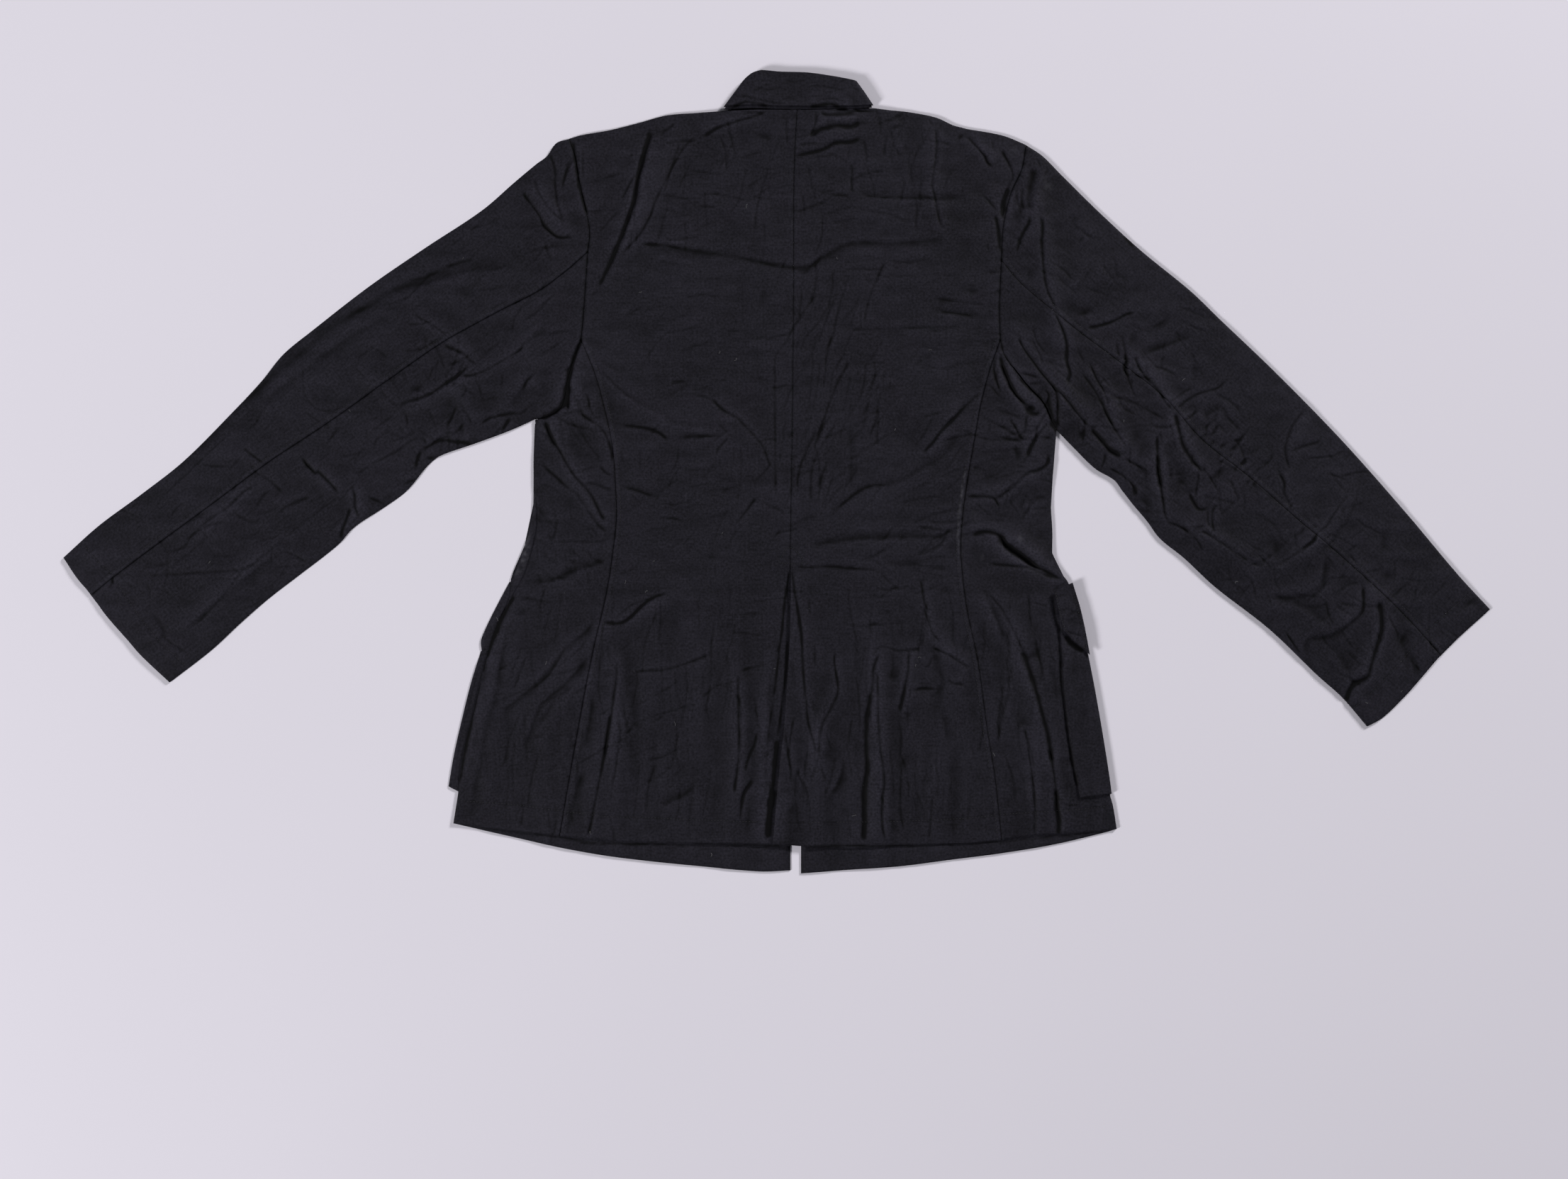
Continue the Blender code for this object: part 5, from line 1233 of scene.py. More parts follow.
@dataclass(frozen=True)
class Twill:
    """Black cotton twill: slanting wales, slubs and faded patches, painted shade in its creases with painted light on
    its ridges, and pale marks of rubbed wear and painted sheen.
    """

    name: str
    dark: Tint = (0.0012, 0.0011, 0.0016, 1.0)
    light: Tint = (0.0288, 0.0272, 0.0382, 1.0)
    # Tint of the pale marks: rubbed wear and painted sheen.
    wear_and_sheen_tint: Tint = (0.088, 0.087, 0.101, 1.0)
    fleck: Tint = (0.16, 0.16, 0.16, 1.0)
    wale: float = 0.00092
    relief: float = 0.00009
    middle_tone: float = 0.42
    evening: float = 0.93
    hollow_shade: float = 1.3

    def material(self) -> bpy.types.Material:
        """Build the cloth's material on the pieces' own cloth map.

        Returns:
            The material.
        """
        shader = Shader(self.name)
        place = shader.node("ShaderNodeUVMap", {"uv_map": "cloth"}, {})
        across, along = (shader.node("ShaderNodeSeparateXYZ", {}, {0: place}, axis) for axis in (0, 1))
        wales = ((across * 0.87 + along * 0.5) * (2.0 * math.pi / self.wale)).wave()
        weft, warp = shader.yarn(place, 30.0, 700.0), shader.yarn(place, 700.0, 26.0)
        faded, grain = shader.noise(place, 14.0, 4.0), shader.noise(place, 440.0, 4.0)
        tone = weft * 0.26 + warp * 0.18 + faded * 0.42 + grain * 1.0 + wales * 0.03 - self.evening
        # Painted shade and light: the colour darkens in the creases and lightens on the ridges.
        share = (self.middle_tone + tone) * (1.0 - shader.painted("crease_shading") * self.hollow_shade)
        cloth = shader.mixed(share, self.dark, self.light)
        # Pale marks: rubbed wear, and a painted sheen on the right sleeve's top.
        wear_and_sheen_mask = shader.painted("wear") * (shader.noise(place, 150.0, 5.0) * 2.2 - 0.62)
        cloth = shader.mixed(wear_and_sheen_mask.between(0.02, 1.0), cloth, self.wear_and_sheen_tint)
        cells = {"Vector": place, "Scale": 150.0}
        fleck = shader.node("ShaderNodeTexVoronoi", {}, cells, "Distance") < 0.035
        fleck = fleck * (shader.node("ShaderNodeTexVoronoi", {}, cells, "Color") > 0.74)
        cloth = shader.mixed(fleck * 0.4, cloth, self.fleck)
        height = wales * 0.5 + weft * 0.9 + warp * 0.6 + grain * 0.5
        bump = shader.node("ShaderNodeBump", {}, {"Strength": 0.55, "Distance": self.relief, "Height": height})
        return shader.surface({
            "Base Color": cloth, "Roughness": 0.62 + faded * 0.2, "Specular IOR Level": 0.1, "Normal": bump,
        })


@dataclass(frozen=True)
class Plain:
    """A finish that wavers between two tints: sewing thread, lint or pale paper."""

    name: str
    dark: Tint
    light: Tint
    scale: float
    roughness: float
    unevenness: float = 0.1
    gloss: float = 0.5
    detail: float = 1.0

    def material(self) -> bpy.types.Material:
        """Build the finish's material.

        Returns:
            The material.
        """
        shader = Shader(self.name)
        place = shader.node("ShaderNodeTexCoord", {}, {}, "Object")
        cloud = shader.noise(place, self.scale, self.detail)
        return shader.surface({
            "Base Color": shader.mixed(cloud.between(0.3, 0.7), self.dark, self.light),
            "Roughness": self.roughness + cloud * self.unevenness, "Specular IOR Level": self.gloss,
        })


THREAD = Plain("sewing_thread", (0.009, 0.009, 0.012, 1.0), (0.022, 0.022, 0.027, 1.0), 2400.0, 0.7)
FIBRE = Plain("lint_fibre", (0.10, 0.10, 0.10, 1.0), (0.26, 0.26, 0.26, 1.0), 2400.0, 0.8)
PAPER = Plain("backdrop_paper", (0.80, 0.775, 0.845, 1.0), (0.816, 0.7905, 0.8619, 1.0), 1.3, 0.85, 0.0, 0.2, 2.0)


class Hold(Enum):
    """How a piece of cloth lies."""

    LAID = "laid"
    FOLDED = "folded"


@dataclass(frozen=True)
class Cut:
    """A maker's flat piece: width and length in metres, area in square metres, threads in degrees from across."""

    width: float
    length: float
    area: float
    grain: float
    hold: Hold = Hold.LAID
    rests_on: tuple[str, ...] = ()
    finish: str = "twill"


CUTS: dict[str, Cut] = {
    "front_left": Cut(0.335, 0.76, 0.188, 2.0),
    "front_right": Cut(0.335, 0.76, 0.182, 2.0),
    "back_left": Cut(0.245, 0.73, 0.145, 1.0, Hold.LAID, ("front_left_cloth",)),
    "back_right": Cut(0.25, 0.735, 0.1415, -1.0, Hold.LAID, ("front_right_cloth", "back_left_cloth")),
    "side_left": Cut(0.16, 0.495, 0.041, 5.0, Hold.LAID, ("front_left_cloth",)),
    "side_right": Cut(0.16, 0.495, 0.0446, -5.0, Hold.LAID, ("front_right_cloth",)),
    "sleeve_top_left": Cut(0.30, 0.70, 0.129, 37.0, Hold.FOLDED, ("front_left_cloth",)),
    "sleeve_under_left": Cut(0.20, 0.70, 0.079, 37.0, Hold.FOLDED, ("front_left_cloth",)),
    "sleeve_top_right": Cut(0.30, 0.70, 0.14, -42.0, Hold.FOLDED, ("front_right_cloth",)),
    "sleeve_under_right": Cut(0.20, 0.70, 0.075, -42.0, Hold.FOLDED, ("front_right_cloth",)),
    "collar_fall": Cut(0.065, 0.30, 0.0105, 0.0, Hold.FOLDED, ("collar_stand_cloth",), "twill_folded"),
    "collar_stand": Cut(0.032, 0.30, 0.0073, 0.0, Hold.FOLDED, ("front_left_cloth", "front_right_cloth")),
    "pocket_right": Cut(0.045, 0.21, 0.0068, -8.0, Hold.FOLDED, ("side_right_cloth",), "twill_folded"),
    "pocket_flap_right": Cut(0.036, 0.072, 0.00135, -12.0, Hold.LAID, ("pocket_right_cloth",), "twill_folded"),
    "pocket_left": Cut(0.02, 0.14, 0.00165, 8.0, Hold.FOLDED, (), "twill_folded"),
    "pocket_flap_left": Cut(0.02, 0.075, 0.00065, 8.0, Hold.LAID, (), "twill_folded"),
}


def raised(places: Array, heights: Array | float) -> Array:
    """Join places and heights into points."""
    heights = np.broadcast_to(np.asarray(heights, dtype=float), places.shape[:-1])
    return np.concatenate([places, heights[..., None]], axis=-1)


def mesh_of(name: str, work: bmesh.types.BMesh) -> bpy.types.Mesh:
    """Turn the worked shapes into a mesh.

    Args:
        name: The mesh's name.
        work: The shapes, which are freed.

    Returns:
        The mesh.
    """
    mesh = bpy.data.meshes.new(name)
    work.to_mesh(mesh)
    work.free()
    return mesh


def put(name: str, data: bpy.types.ID) -> bpy.types.Object:
    """Put a new object into the scene.

    Args:
        name: The object's name.
        data: Its mesh, light or lens.

    Returns:
        The object.
    """
    made = bpy.data.objects.new(name, data)
    bpy.context.scene.collection.objects.link(made)
    return made


@dataclass
class Workshop:
    """Where pieces are made up: the lie of the cloth, its place in the frame and its finishes."""

    relief: Relief
    origin: Array
    finishes: dict[str, bpy.types.Material]
    made: list[bpy.types.Object] = field(default_factory=list)

    def world(self, points: Array) -> Array:
        """Turn points of the layout, in mm, into metres of the frame."""
        return (points + (*self.origin, 0.0)) * MM

    def wall(self, name: str, outer: Array, inner: Array) -> bpy.types.Mesh:
        """Make a closed wall of cloth from a fine outer face and a coarse inner one.

        Args:
            name: Name of the mesh.
            outer: Points of the outer face, in steps that COARSE divides.
            inner: Points of the inner face, one for each COARSE steps of the outer.

        Returns:
            The mesh, in metres of the frame.
        """
        work = bmesh.new()
        faces = [self.world(face) for face in (outer, inner)]
        for level, face in zip((0.0, -0.05), faces):
            place = Matrix.Translation((0.0, 0.0, level))
            rows, columns = face.shape[0] - 1, face.shape[1] - 1
            bmesh.ops.create_grid(work, x_segments=columns, y_segments=rows, size=0.5, matrix=place)
        bmesh.ops.bridge_loops(work, edges=[edge for edge in work.edges if edge.is_boundary])
        for corner in work.verts:
            across, up, level = corner.co
            face = faces[level < -0.02]
            row, column = (round((spot + 0.5) * (size - 1)) for spot, size in zip((up, across), face.shape))
            corner.co = face[row, column]
        bmesh.ops.recalc_face_normals(work, faces=work.faces[:])
        if work.calc_volume(signed=True) < 0.0:
            bmesh.ops.reverse_faces(work, faces=work.faces[:])
        return mesh_of(name, work)

    def dress(self, mesh: bpy.types.Mesh, cut: Cut) -> None:
        """Give a cut's mesh its cloth map, its painted layers and its finish.

        Args:
            mesh: The mesh, in metres of the frame.
            cut: The flat piece that it is.
        """
        points = np.empty((len(mesh.vertices), 3), dtype=np.float32)
        mesh.vertices.foreach_get("co", points.ravel())
        across, up = points[:, 0], points[:, 1]
        along, aside = math.cos(math.radians(cut.grain)), math.sin(math.radians(cut.grain))
        turned = np.stack([across * along + up * aside, up * along - across * aside], axis=1)
        corner = np.empty(len(mesh.loops), dtype=np.int32)
        mesh.loops.foreach_get("vertex_index", corner)
        cloth = mesh.uv_layers.new(name="cloth")
        cloth.data.foreach_set("uv", turned[corner].astype(np.float32).ravel())
        places = points[:, :2] / MM - self.origin
        # Painted layers: pale marks of rubbed wear and painted sheen, and painted shade in the creases with painted
        # light on the ridges.
        for label, layer in (("wear", self.relief.wear), ("crease_shading", self.relief.crease_shading)):
            painted = mesh.attributes.new(label, "FLOAT", "POINT")
            shown = np.where(points[:, 2] > 0.9 * MM, self.relief.read(layer, places), 0.0)
            painted.data.foreach_set("value", np.clip(shown, -1.0, 1.0).astype(np.float32))
        mesh.materials.append(self.finishes[cut.finish])
        mesh.shade_smooth()

    def lay(self, name: str, mesh: bpy.types.Mesh, slot: str) -> bpy.types.Object:
        """Put a finished piece into the scene and attach it to the root body.

        Args:
            name: The piece's name.
            mesh: Its mesh.
            slot: A material slot; not used.

        Returns:
            The piece.
        """
        piece = put(name, mesh)
        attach(piece, "root")
        self.made.append(piece)
        log.info("%s: %d faces", name, len(mesh.polygons))
        return piece

    def sew(self, node: str, outer: Array, inner: Array) -> None:
        """Make up the cloth of a solid and lay it into the scene.

        Args:
            node: The solid that it stands for.
            outer: Points of its outer face.
            inner: Points of its inner face.
        """
        cut = CUTS[node]
        mesh = self.wall(node, outer, inner)
        self.dress(mesh, cut)
        piece = self.lay(node + "_cloth", mesh, cut.finish)
        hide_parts(node)

    def sew_layer(self, node: str, places: Array, tops: Array) -> None:
        """Make up a panel of the back layer from its places and the heights of its outer face."""
        self.sew(node, raised(places, tops), self.under_face(places, tops))

    @staticmethod
    def under_face(places: Array, tops: Array) -> Array:
        """Coarse inner face of a wall, a wall's thickness under the lowest tops round each place.

        Args:
            places: Places of the fine grid.
            tops: Heights of its outer face.

        Returns:
            The points of the coarse inner face.
        """
        padded = np.pad(tops, COARSE, mode="edge")
        rows, columns = tops.shape
        lowest = np.full(tops[::COARSE, ::COARSE].shape, 1e3)
        for row in range(0, 2 * COARSE + 1, 2):
            for column in range(0, 2 * COARSE + 1, 2):
                lowest = np.minimum(lowest, padded[row:row + rows:COARSE, column:column + columns:COARSE])
        return raised(places[::COARSE, ::COARSE], np.clip(lowest - WALL, INNER_FLOOR, INNER_CEILING))


@dataclass
class Backs:
    """The two halves of the back, from shoulder to hem, with the vent between them."""

    workshop: Workshop
    rows: int = 486
    left_columns: int = 156
    right_columns: int = 162
    lap_offset: float = 4.0
    lap_start: float = 26.0
    lap_zone: float = 40.0
    lap_fade: float = 26.0
    lap_ridge: float = 1.5

    @staticmethod
    def vent_share(lap: Array) -> Array:
        """Share of the way from the closed seam to the open vent, at each row."""
        return smooth_step(VENT_TOP + VENT_RAMP / 2.0, VENT_TOP - VENT_RAMP, lap[:, 1])[:, None]

    def left(self) -> None:
        """Make the left back, whose underlap runs on beneath the right one."""
        lap = Draft.spread(self.rows, CENTRE_SEAM, VENT_EDGE)
        line = lap - (self.lap_offset, 0.0)
        top_run, hem_run = Draft.joined(LEFT.neck, LEFT.shoulder), Draft.run(LEFT.back_hem)
        top_reach, hem_reach = Draft.reach(top_run), Draft.reach(hem_run)
        start = Draft.at(top_run, np.linspace(self.lap_offset, top_reach[-1], self.left_columns + 1))
        turn = float(np.interp(-line[-1, 0], -hem_run[:, 0], hem_reach))
        end = Draft.at(hem_run, np.linspace(turn, hem_reach[-1], self.left_columns + 1))
        line[0], line[-1] = start[0], end[0]
        far = Draft.spread(self.rows, LEFT.cap, LEFT.armhole_back, LEFT.princess)
        main = Draft.inset(Draft.patch(line, far, start, end), far=HALF_SEAM)
        edge = lap - (HALF_SEAM, 0.0)
        edge[:, 0] += UNDERLAP * smooth_step(UNDERLAP_TOP, UNDERLAP_TOP - UNDERLAP_RAMP, lap[:, 1])
        edge[-1] = hem_run[0]
        grid = np.concatenate([Draft.ruled(edge, main[:, 0], 2 * COARSE), main[:, 1:]], axis=1)
        grid[0, :, 1] -= HALF_SEAM
        tops = self.workshop.relief.tops(grid)
        near_lap = smooth_step(-self.lap_start, -self.lap_offset, grid[..., 0] - lap[:, None, 0])
        tops = tops + (EDGE_TOP + 0.1 - tops) * self.vent_share(lap) * near_lap
        self.workshop.sew_layer("back_left", grid, tops)

    def right(self) -> None:
        """Make the right back, which laps over the left one below the vent's top."""
        lap = Draft.spread(self.rows, CENTRE_SEAM, VENT_EDGE)
        far = Draft.spread(self.rows, RIGHT.cap, RIGHT.armhole_back, RIGHT.princess)
        start = Draft.spread(self.right_columns, RIGHT.neck, RIGHT.shoulder)
        grid = Draft.patch(lap, far, start, Draft.spread(self.right_columns, RIGHT.back_hem))
        grid = Draft.inset(grid, near=HALF_SEAM, far=HALF_SEAM)
        grid[0, :, 1] -= HALF_SEAM
        tops = self.workshop.relief.tops(grid)
        away = grid[..., 0] - lap[:, None, 0]
        zone = self.vent_share(lap) * (1.0 - smooth_step(self.lap_zone, self.lap_zone + self.lap_fade, away))
        ridge = self.lap_ridge * bell(away - 6.0, 20.0)
        wanted = np.maximum(tops, LAP_FLOOR + WALL + ridge + 0.5 * (tops - EDGE_TOP - EDGE_RISE))
        tops = tops + (np.clip(wanted, LAP_FLOOR + WALL, HIGHEST_FOLD) - tops) * zone
        self.workshop.sew_layer("back_right", grid, tops)

    def make(self) -> None:
        """Make both backs."""
        self.left()
        self.right()


@dataclass
class SidePanel:
    """A side panel between its princess seam and the garment's side."""

    workshop: Workshop
    half: Half
    rows: int = 324
    columns: int = 72

    def make(self) -> None:
        """Make the panel from its armhole down to its hem."""
        half = self.half
        grid = Draft.relaxed(
            Draft.spread(self.rows, half.princess), Draft.spread(self.rows, half.side),
            Draft.spread(self.columns, half.armhole_under, half.gusset), Draft.spread(self.columns, half.side_hem),
        )
        grid = Draft.inset(grid, near=HALF_SEAM, start=HALF_SEAM)
        self.workshop.sew_layer("side_" + half.name, grid, self.workshop.relief.tops(grid))


@dataclass
class Sleeve:
    """A two-piece sleeve pressed flat, whose pieces turn round its two edges."""

    workshop: Workshop
    half: Half
    rows: int = 426
    columns: tuple[int, int] = (72, 78)
    forearm_share: float = 0.8
    cuff_share: float = 4.0 / 6.0
    top_steps: int = 18
    under_steps: int = 12
    nose_steps: int = 6
    nose_height: float = 1.35
    above: float = 3.0
    below: float = 2.0

    def make(self) -> None:
        """Make the top sleeve and the under sleeve."""
        half, rows, middle = self.half, self.rows, self.top_steps
        outer, elbow = Draft.spread(rows, half.sleeve_outer), Draft.spread(rows, half.elbow)
        inner = Draft.spread(rows, half.gusset, half.sleeve_inner)
        armhole = Draft.joined(half.cap, half.armhole_back, half.armhole_under)
        cuff = Draft.joined(half.cuff_outer, half.cuff_inner)
        start = Draft.parted(armhole, self.forearm_share, middle, self.under_steps)
        end = Draft.parted(cuff, self.cuff_share, middle, self.under_steps)
        lower = Draft.relaxed(outer, inner, start, end)
        cap, cuff_cap = Draft.run(half.cap)[::-1], Draft.run(half.cuff_outer)[::-1]
        back = Draft.joined(half.armhole_back, half.armhole_under)
        top, under = self.columns
        self.band("sleeve_top_", elbow, outer, (cap, cuff_cap), lower[:, :middle + 1], top)
        self.band("sleeve_under_", elbow, inner, (back, Draft.run(half.cuff_inner)), lower[:, :middle - 1:-1], under)

    def band(
        self, part: str, elbow: Array, fold_line: Array, ends: tuple[Array, Array], lower: Array, columns: int
    ) -> None:
        """Make a piece that turns round one edge of the sleeve onto its underside.

        Args:
            part: The piece's name without its side.
            elbow: Places down the elbow seam.
            fold_line: Places down the sleeve's folded edge.
            ends: Armhole and cuff, each from the elbow seam to the fold line.
            lower: Grid of the underside, from the fold line to the forearm seam.
            columns: Steps over the upper side.
        """
        margin = HALF_SEAM + self.above
        inward = Draft.drawn_in(fold_line, elbow, 1.0) - fold_line
        ease = smooth_step(0.0, 9.0, np.arange(len(fold_line)))[:, None]
        borders = []
        for run, row, share in ((ends[0], 0, ease), (ends[1], -1, ease[::-1])):
            border = Draft.at(run, np.linspace(0.0, Draft.reach(run)[-1] - margin, columns + 1))
            along = (border[-1] - fold_line[row]) / np.linalg.norm(border[-1] - fold_line[row])
            inward = along * (1.0 - share) + inward * share
            borders.append(border)
        inward /= np.linalg.norm(inward, axis=1)[:, None]
        far = fold_line + inward * margin
        far[0], far[-1] = borders[0][-1], borders[1][-1]
        upper = Draft.inset(Draft.relaxed(elbow, far, *borders), near=HALF_SEAM, start=HALF_SEAM)
        lower = Draft.inset(lower, far=HALF_SEAM, start=HALF_SEAM)
        tops = self.workshop.relief.tops(upper)
        nose = fold_line + inward * HALF_SEAM
        lower[:, 0] = nose + inward * self.below
        arcs = []
        for step in range(1, self.nose_steps):
            angle = math.pi * step / self.nose_steps
            high = math.cos(angle)
            depth = self.above if high > 0.0 else self.below
            rise = (tops[:, -1] - self.nose_height) * high if high > 0.0 else self.nose_height * high
            arcs.append(raised(nose + inward * depth * (1.0 - math.sin(angle)), self.nose_height + rise)[:, None])
        outer_face = np.concatenate([raised(upper, tops), *arcs, raised(lower, 0.0)], axis=1)
        inner_lower = lower[::COARSE, ::COARSE].copy()
        inner_lower[:, 0] = (nose + inward * self.above)[::COARSE]
        inner_face = np.concatenate([self.workshop.under_face(upper, tops), raised(inner_lower, WALL)], axis=1)
        self.workshop.sew(part + self.half.name, outer_face, inner_face)


@dataclass
class Front:
    """A front, flat on the surface, of which the hem and a strip at the side show."""

    workshop: Workshop
    half: Half
    columns: int = 72
    hem_share: float = 0.9
    rows_above: int = 90
    rows_below: int = 42
    neck_up: float = 359.3

    def make(self) -> None:
        """Make the front from its neck down to its hem, finest near the hem."""
        half = self.half
        upper = np.linspace(0.0, self.hem_share, self.rows_above + 1)
        down = np.concatenate([upper, np.linspace(self.hem_share, 1.0, self.rows_below + 1)[1:]])
        edge = np.array([(half.front_edge, self.neck_up), half.front_hem[:2]])
        near = Draft.at(edge, down * Draft.reach(edge)[-1])
        armhole = half.cap, half.armhole_back, half.armhole_under, half.gusset
        far_run = Draft.joined(*armhole, half.front_side)
        spots = down * Draft.reach(far_run)[-1]
        far = Draft.at(far_run, spots)
        below = int(np.searchsorted(spots, Draft.reach(Draft.joined(*armhole))[-1]))
        far[:below] = Draft.drawn_in(far, far + (half.inward, 0.0), HALF_SEAM)[:below]
        neck = np.array([(half.front_edge, self.neck_up), (half.front_neck, self.neck_up)])
        start = Draft.even(np.concatenate([neck, Draft.run(half.shoulder)]), self.columns)
        start[-1] = far[0]
        grid = Draft.patch(near, far, start, Draft.spread(self.columns, half.front_hem), down)
        tops = WALL + self.workshop.relief.waves(grid, 0.45, -0.5, 0.2)
        self.workshop.sew("front_" + half.name, raised(grid, tops), raised(grid[::COARSE, ::COARSE], 0.0))


@dataclass
class Collar:
    """The turned-down collar and its stand, a flattened ring at the neck."""

    workshop: Workshop
    middle: float = 4.25
    fall_out: float = 4.25
    fall_in: float = 2.45
    stand_out: float = 1.9
    stand_in: float = 0.3
    roll_share: float = 0.955
    inner_share: float = 0.93
    hidden_share: float = 0.77
    front_steps: int = 12
    turn_steps: int = 6
    back_steps: int = 84
    height_steps: int = 40
    fall_rows: int = 36
    roll_rows: int = 9
    hidden_rows: int = 6
    inner_rows: int = 7
    stand_rows: int = 13
    stand_low: float = -0.08
    stand_high: float = 0.75

    def plan(self) -> Array:
        """Places over the collar's back, from its free edge to its roll."""
        ends = (Draft.spread(self.height_steps, table) for table in (COLLAR_LEFT_END, COLLAR_RIGHT_END))
        return Draft.patch(*ends, *(Draft.spread(self.back_steps, table) for table in (COLLAR_FREE_EDGE, COLLAR_ROLL)))

    def row(self, share: float, away: float) -> Array:
        """Points of one row round the ring.

        Args:
            share: Share of the collar's height.
            away: Distance from the ring's middle plane.

        Returns:
            The points from one front end to the other.
        """
        plan = self.plan()
        position = share * (len(plan) - 1)
        low = max(0, min(int(position), len(plan) - 2))
        line = plan[low] * (1 - position + low) + plan[low + 1] * (position - low)
        angles = np.linspace(-math.pi / 2.0, math.pi / 2.0, self.turn_steps + 1)[1:-1, None]
        ends = []
        for here, inner, edge in ((line[0], line[3], LEFT.front_edge), (line[-1], line[-4], RIGHT.front_edge)):
            out = (here - inner) / np.linalg.norm(here - inner)
            across = np.linspace(edge, here[0], self.front_steps + 1)
            front = np.stack([across, np.interp(across, line[:, 0], line[:, 1])], axis=1)
            turn = np.concatenate([here + out * np.cos(angles) * away, self.middle + np.sin(angles) * away], axis=1)
            ends.append(np.concatenate([raised(front, self.middle - away), turn]))
        return np.concatenate([ends[0], raised(line, self.middle + away), ends[1][::-1]])

    def rows(self, shares: Array, away: float) -> list[Array]:
        """Points of several rows at one distance from the ring's middle plane."""
        return [self.row(share, away) for share in shares]

    def make(self) -> None:
        """Make the fall and the stand that it covers."""
        edge, ceiling = self.roll_share, self.inner_share
        roll, rim = (self.fall_out + self.stand_in) / 2.0, (self.fall_out - self.stand_in) / 2.0
        outer = self.rows(np.linspace(0.0, edge, self.fall_rows), self.fall_out)
        for angle in np.linspace(0.0, math.pi, self.roll_rows)[1:-1]:
            outer.append(self.row(edge + (1.0 - edge) * math.sin(angle), roll + rim * math.cos(angle)))
        outer += self.rows(np.linspace(edge, self.hidden_share, self.hidden_rows), self.stand_in)
        inner = self.rows(np.linspace(0.0, ceiling, self.inner_rows), self.fall_in)
        inner += self.rows(np.array([ceiling, self.hidden_share]), self.stand_out)
        face = np.array(outer)
        shown = face[..., 2] > self.middle + 2.0
        face[..., 2] += np.where(shown, self.workshop.relief.waves(face, 0.7, -1.2, 0.6), 0.0)
        self.workshop.sew("collar_fall", face, np.array(inner)[:, ::COARSE])
        shares = np.linspace(self.stand_low, self.stand_high, self.stand_rows)
        inner = np.array(self.rows(shares[::COARSE], self.stand_in))[:, ::COARSE]
        self.workshop.sew("collar_stand", np.array(self.rows(shares, self.stand_out)), inner)


@dataclass
class Pockets:
    """The bellows pockets and their flaps, as far as they show past the sides."""

    workshop: Workshop
    lip: float = 3.0
    columns: int = 18
    inner_drop: float = 0.6
    flap_drop: float = 0.45
    outer_drop: float = 0.35

    def right_pocket(self, rows: int = 126) -> None:
        """Make the right pocket's edge, which lies round the side onto the back.

        Args:
            rows: Steps down the pocket.
        """
        inner, outer = Draft.spread(rows, POCKET_RIGHT_INNER), Draft.spread(rows, POCKET_RIGHT_OUTER)
        inward = (inner - outer) / np.linalg.norm(inner - outer, axis=1)[:, None]
        grid = Draft.ruled(inner, outer + inward * self.lip, self.columns)
        floor = np.maximum(self.workshop.relief.tops(grid), EDGE_TOP) + LAYER_GAP
        tops = floor + FOLDED_WALL
        tops[:, 0] -= self.inner_drop
        drop = []
        for step in range(1, COARSE + 1):
            turn = math.pi / 2.0 * step / COARSE
            place = outer + inward * self.lip * (1.0 - math.sin(turn))
            drop.append(raised(place, tops[:, -1] - FOLDED_WALL * (1.0 - math.cos(turn)))[:, None])
        side = tops[:, -1] - FOLDED_WALL
        drop += [raised(outer, side * (1.0 - step / COARSE))[:, None] for step in range(1, COARSE + 1)]
        outer_face = np.concatenate([raised(grid, tops), *drop], axis=1)
        coarse = slice(None, None, COARSE)
        lip = (outer + inward * (WALL + 0.1))[coarse]
        lip_inside = [raised(lip, floor[coarse, -1] + 0.2)[:, None], raised(lip, 0.0)[:, None]]
        inner_face = np.concatenate([raised(grid[coarse, coarse], floor[coarse, coarse]), *lip_inside], axis=1)
        self.workshop.sew("pocket_right", outer_face, inner_face)

    def right_flap(self, rows: int = 54) -> None:
        """Make the right pocket's flap, which lies on the pocket.

        Args:
            rows: Steps down the flap.
        """
        grid = Draft.patch(
            Draft.spread(rows, FLAP_RIGHT_INNER), Draft.spread(rows, FLAP_RIGHT_OUTER),
            Draft.spread(self.columns, FLAP_RIGHT_TOP), Draft.spread(self.columns, FLAP_RIGHT_END),
        )
        seat = self.workshop.relief.tops(grid) + FLAP_SEAT
        tops = seat + FLAP_WALL
        for rim in (np.s_[0, :], np.s_[-1, :], np.s_[:, 0], np.s_[:, -1]):
            tops[rim] -= self.flap_drop
        self.workshop.sew("pocket_flap_right", raised(grid, tops), raised(grid, seat)[::COARSE, ::COARSE])

    def left_piece(self, node: str, edge: Table, low: float, high: float, rows: int, columns: int) -> None:
        """Make a piece that stands out past the left side, flat on the surface.

        Args:
            node: The solid that it stands for.
            edge: Its outer edge, from high to low.
            low: Lowest place of its inner edge.
            high: Highest place of its inner edge.
            rows: Steps down its edges.
            columns: Steps between the two edges.
        """
        side = Draft.run(LEFT.front_side)
        clear = Draft.drawn_in(side, side - (LEFT.inward, 0.0), 2.0 * HALF_SEAM)
        falling = np.linspace(high, low, rows + 1)
        inner = np.stack([np.interp(-falling, -clear[:, 1], clear[:, 0]), falling], axis=1)
        grid = Draft.ruled(inner, Draft.spread(rows, edge), columns)
        tops = WALL + self.workshop.relief.waves(grid, 0.5, -0.6, 0.3)
        tops[:, -1] -= self.outer_drop
        self.workshop.sew(node, raised(grid, tops), raised(grid[::COARSE, ::COARSE], 0.0))

    def make(self) -> None:
        """Make both pockets and both flaps."""
        self.right_pocket()
        self.right_flap()
        self.left_piece("pocket_left", POCKET_LEFT_OUTER, -316.0, -176.3, 84, 12)
        self.left_piece("pocket_flap_left", FLAP_LEFT_OUTER, -175.9, -108.0, 48, 6)


@dataclass(frozen=True)
class Row:
    """One row of stitches: its path, how far it is set off to the left, its pitch and its lift off the back."""

    path: Table
    offset: float = 0.0
    pitch: float = 3.1
    lift: float = 0.06


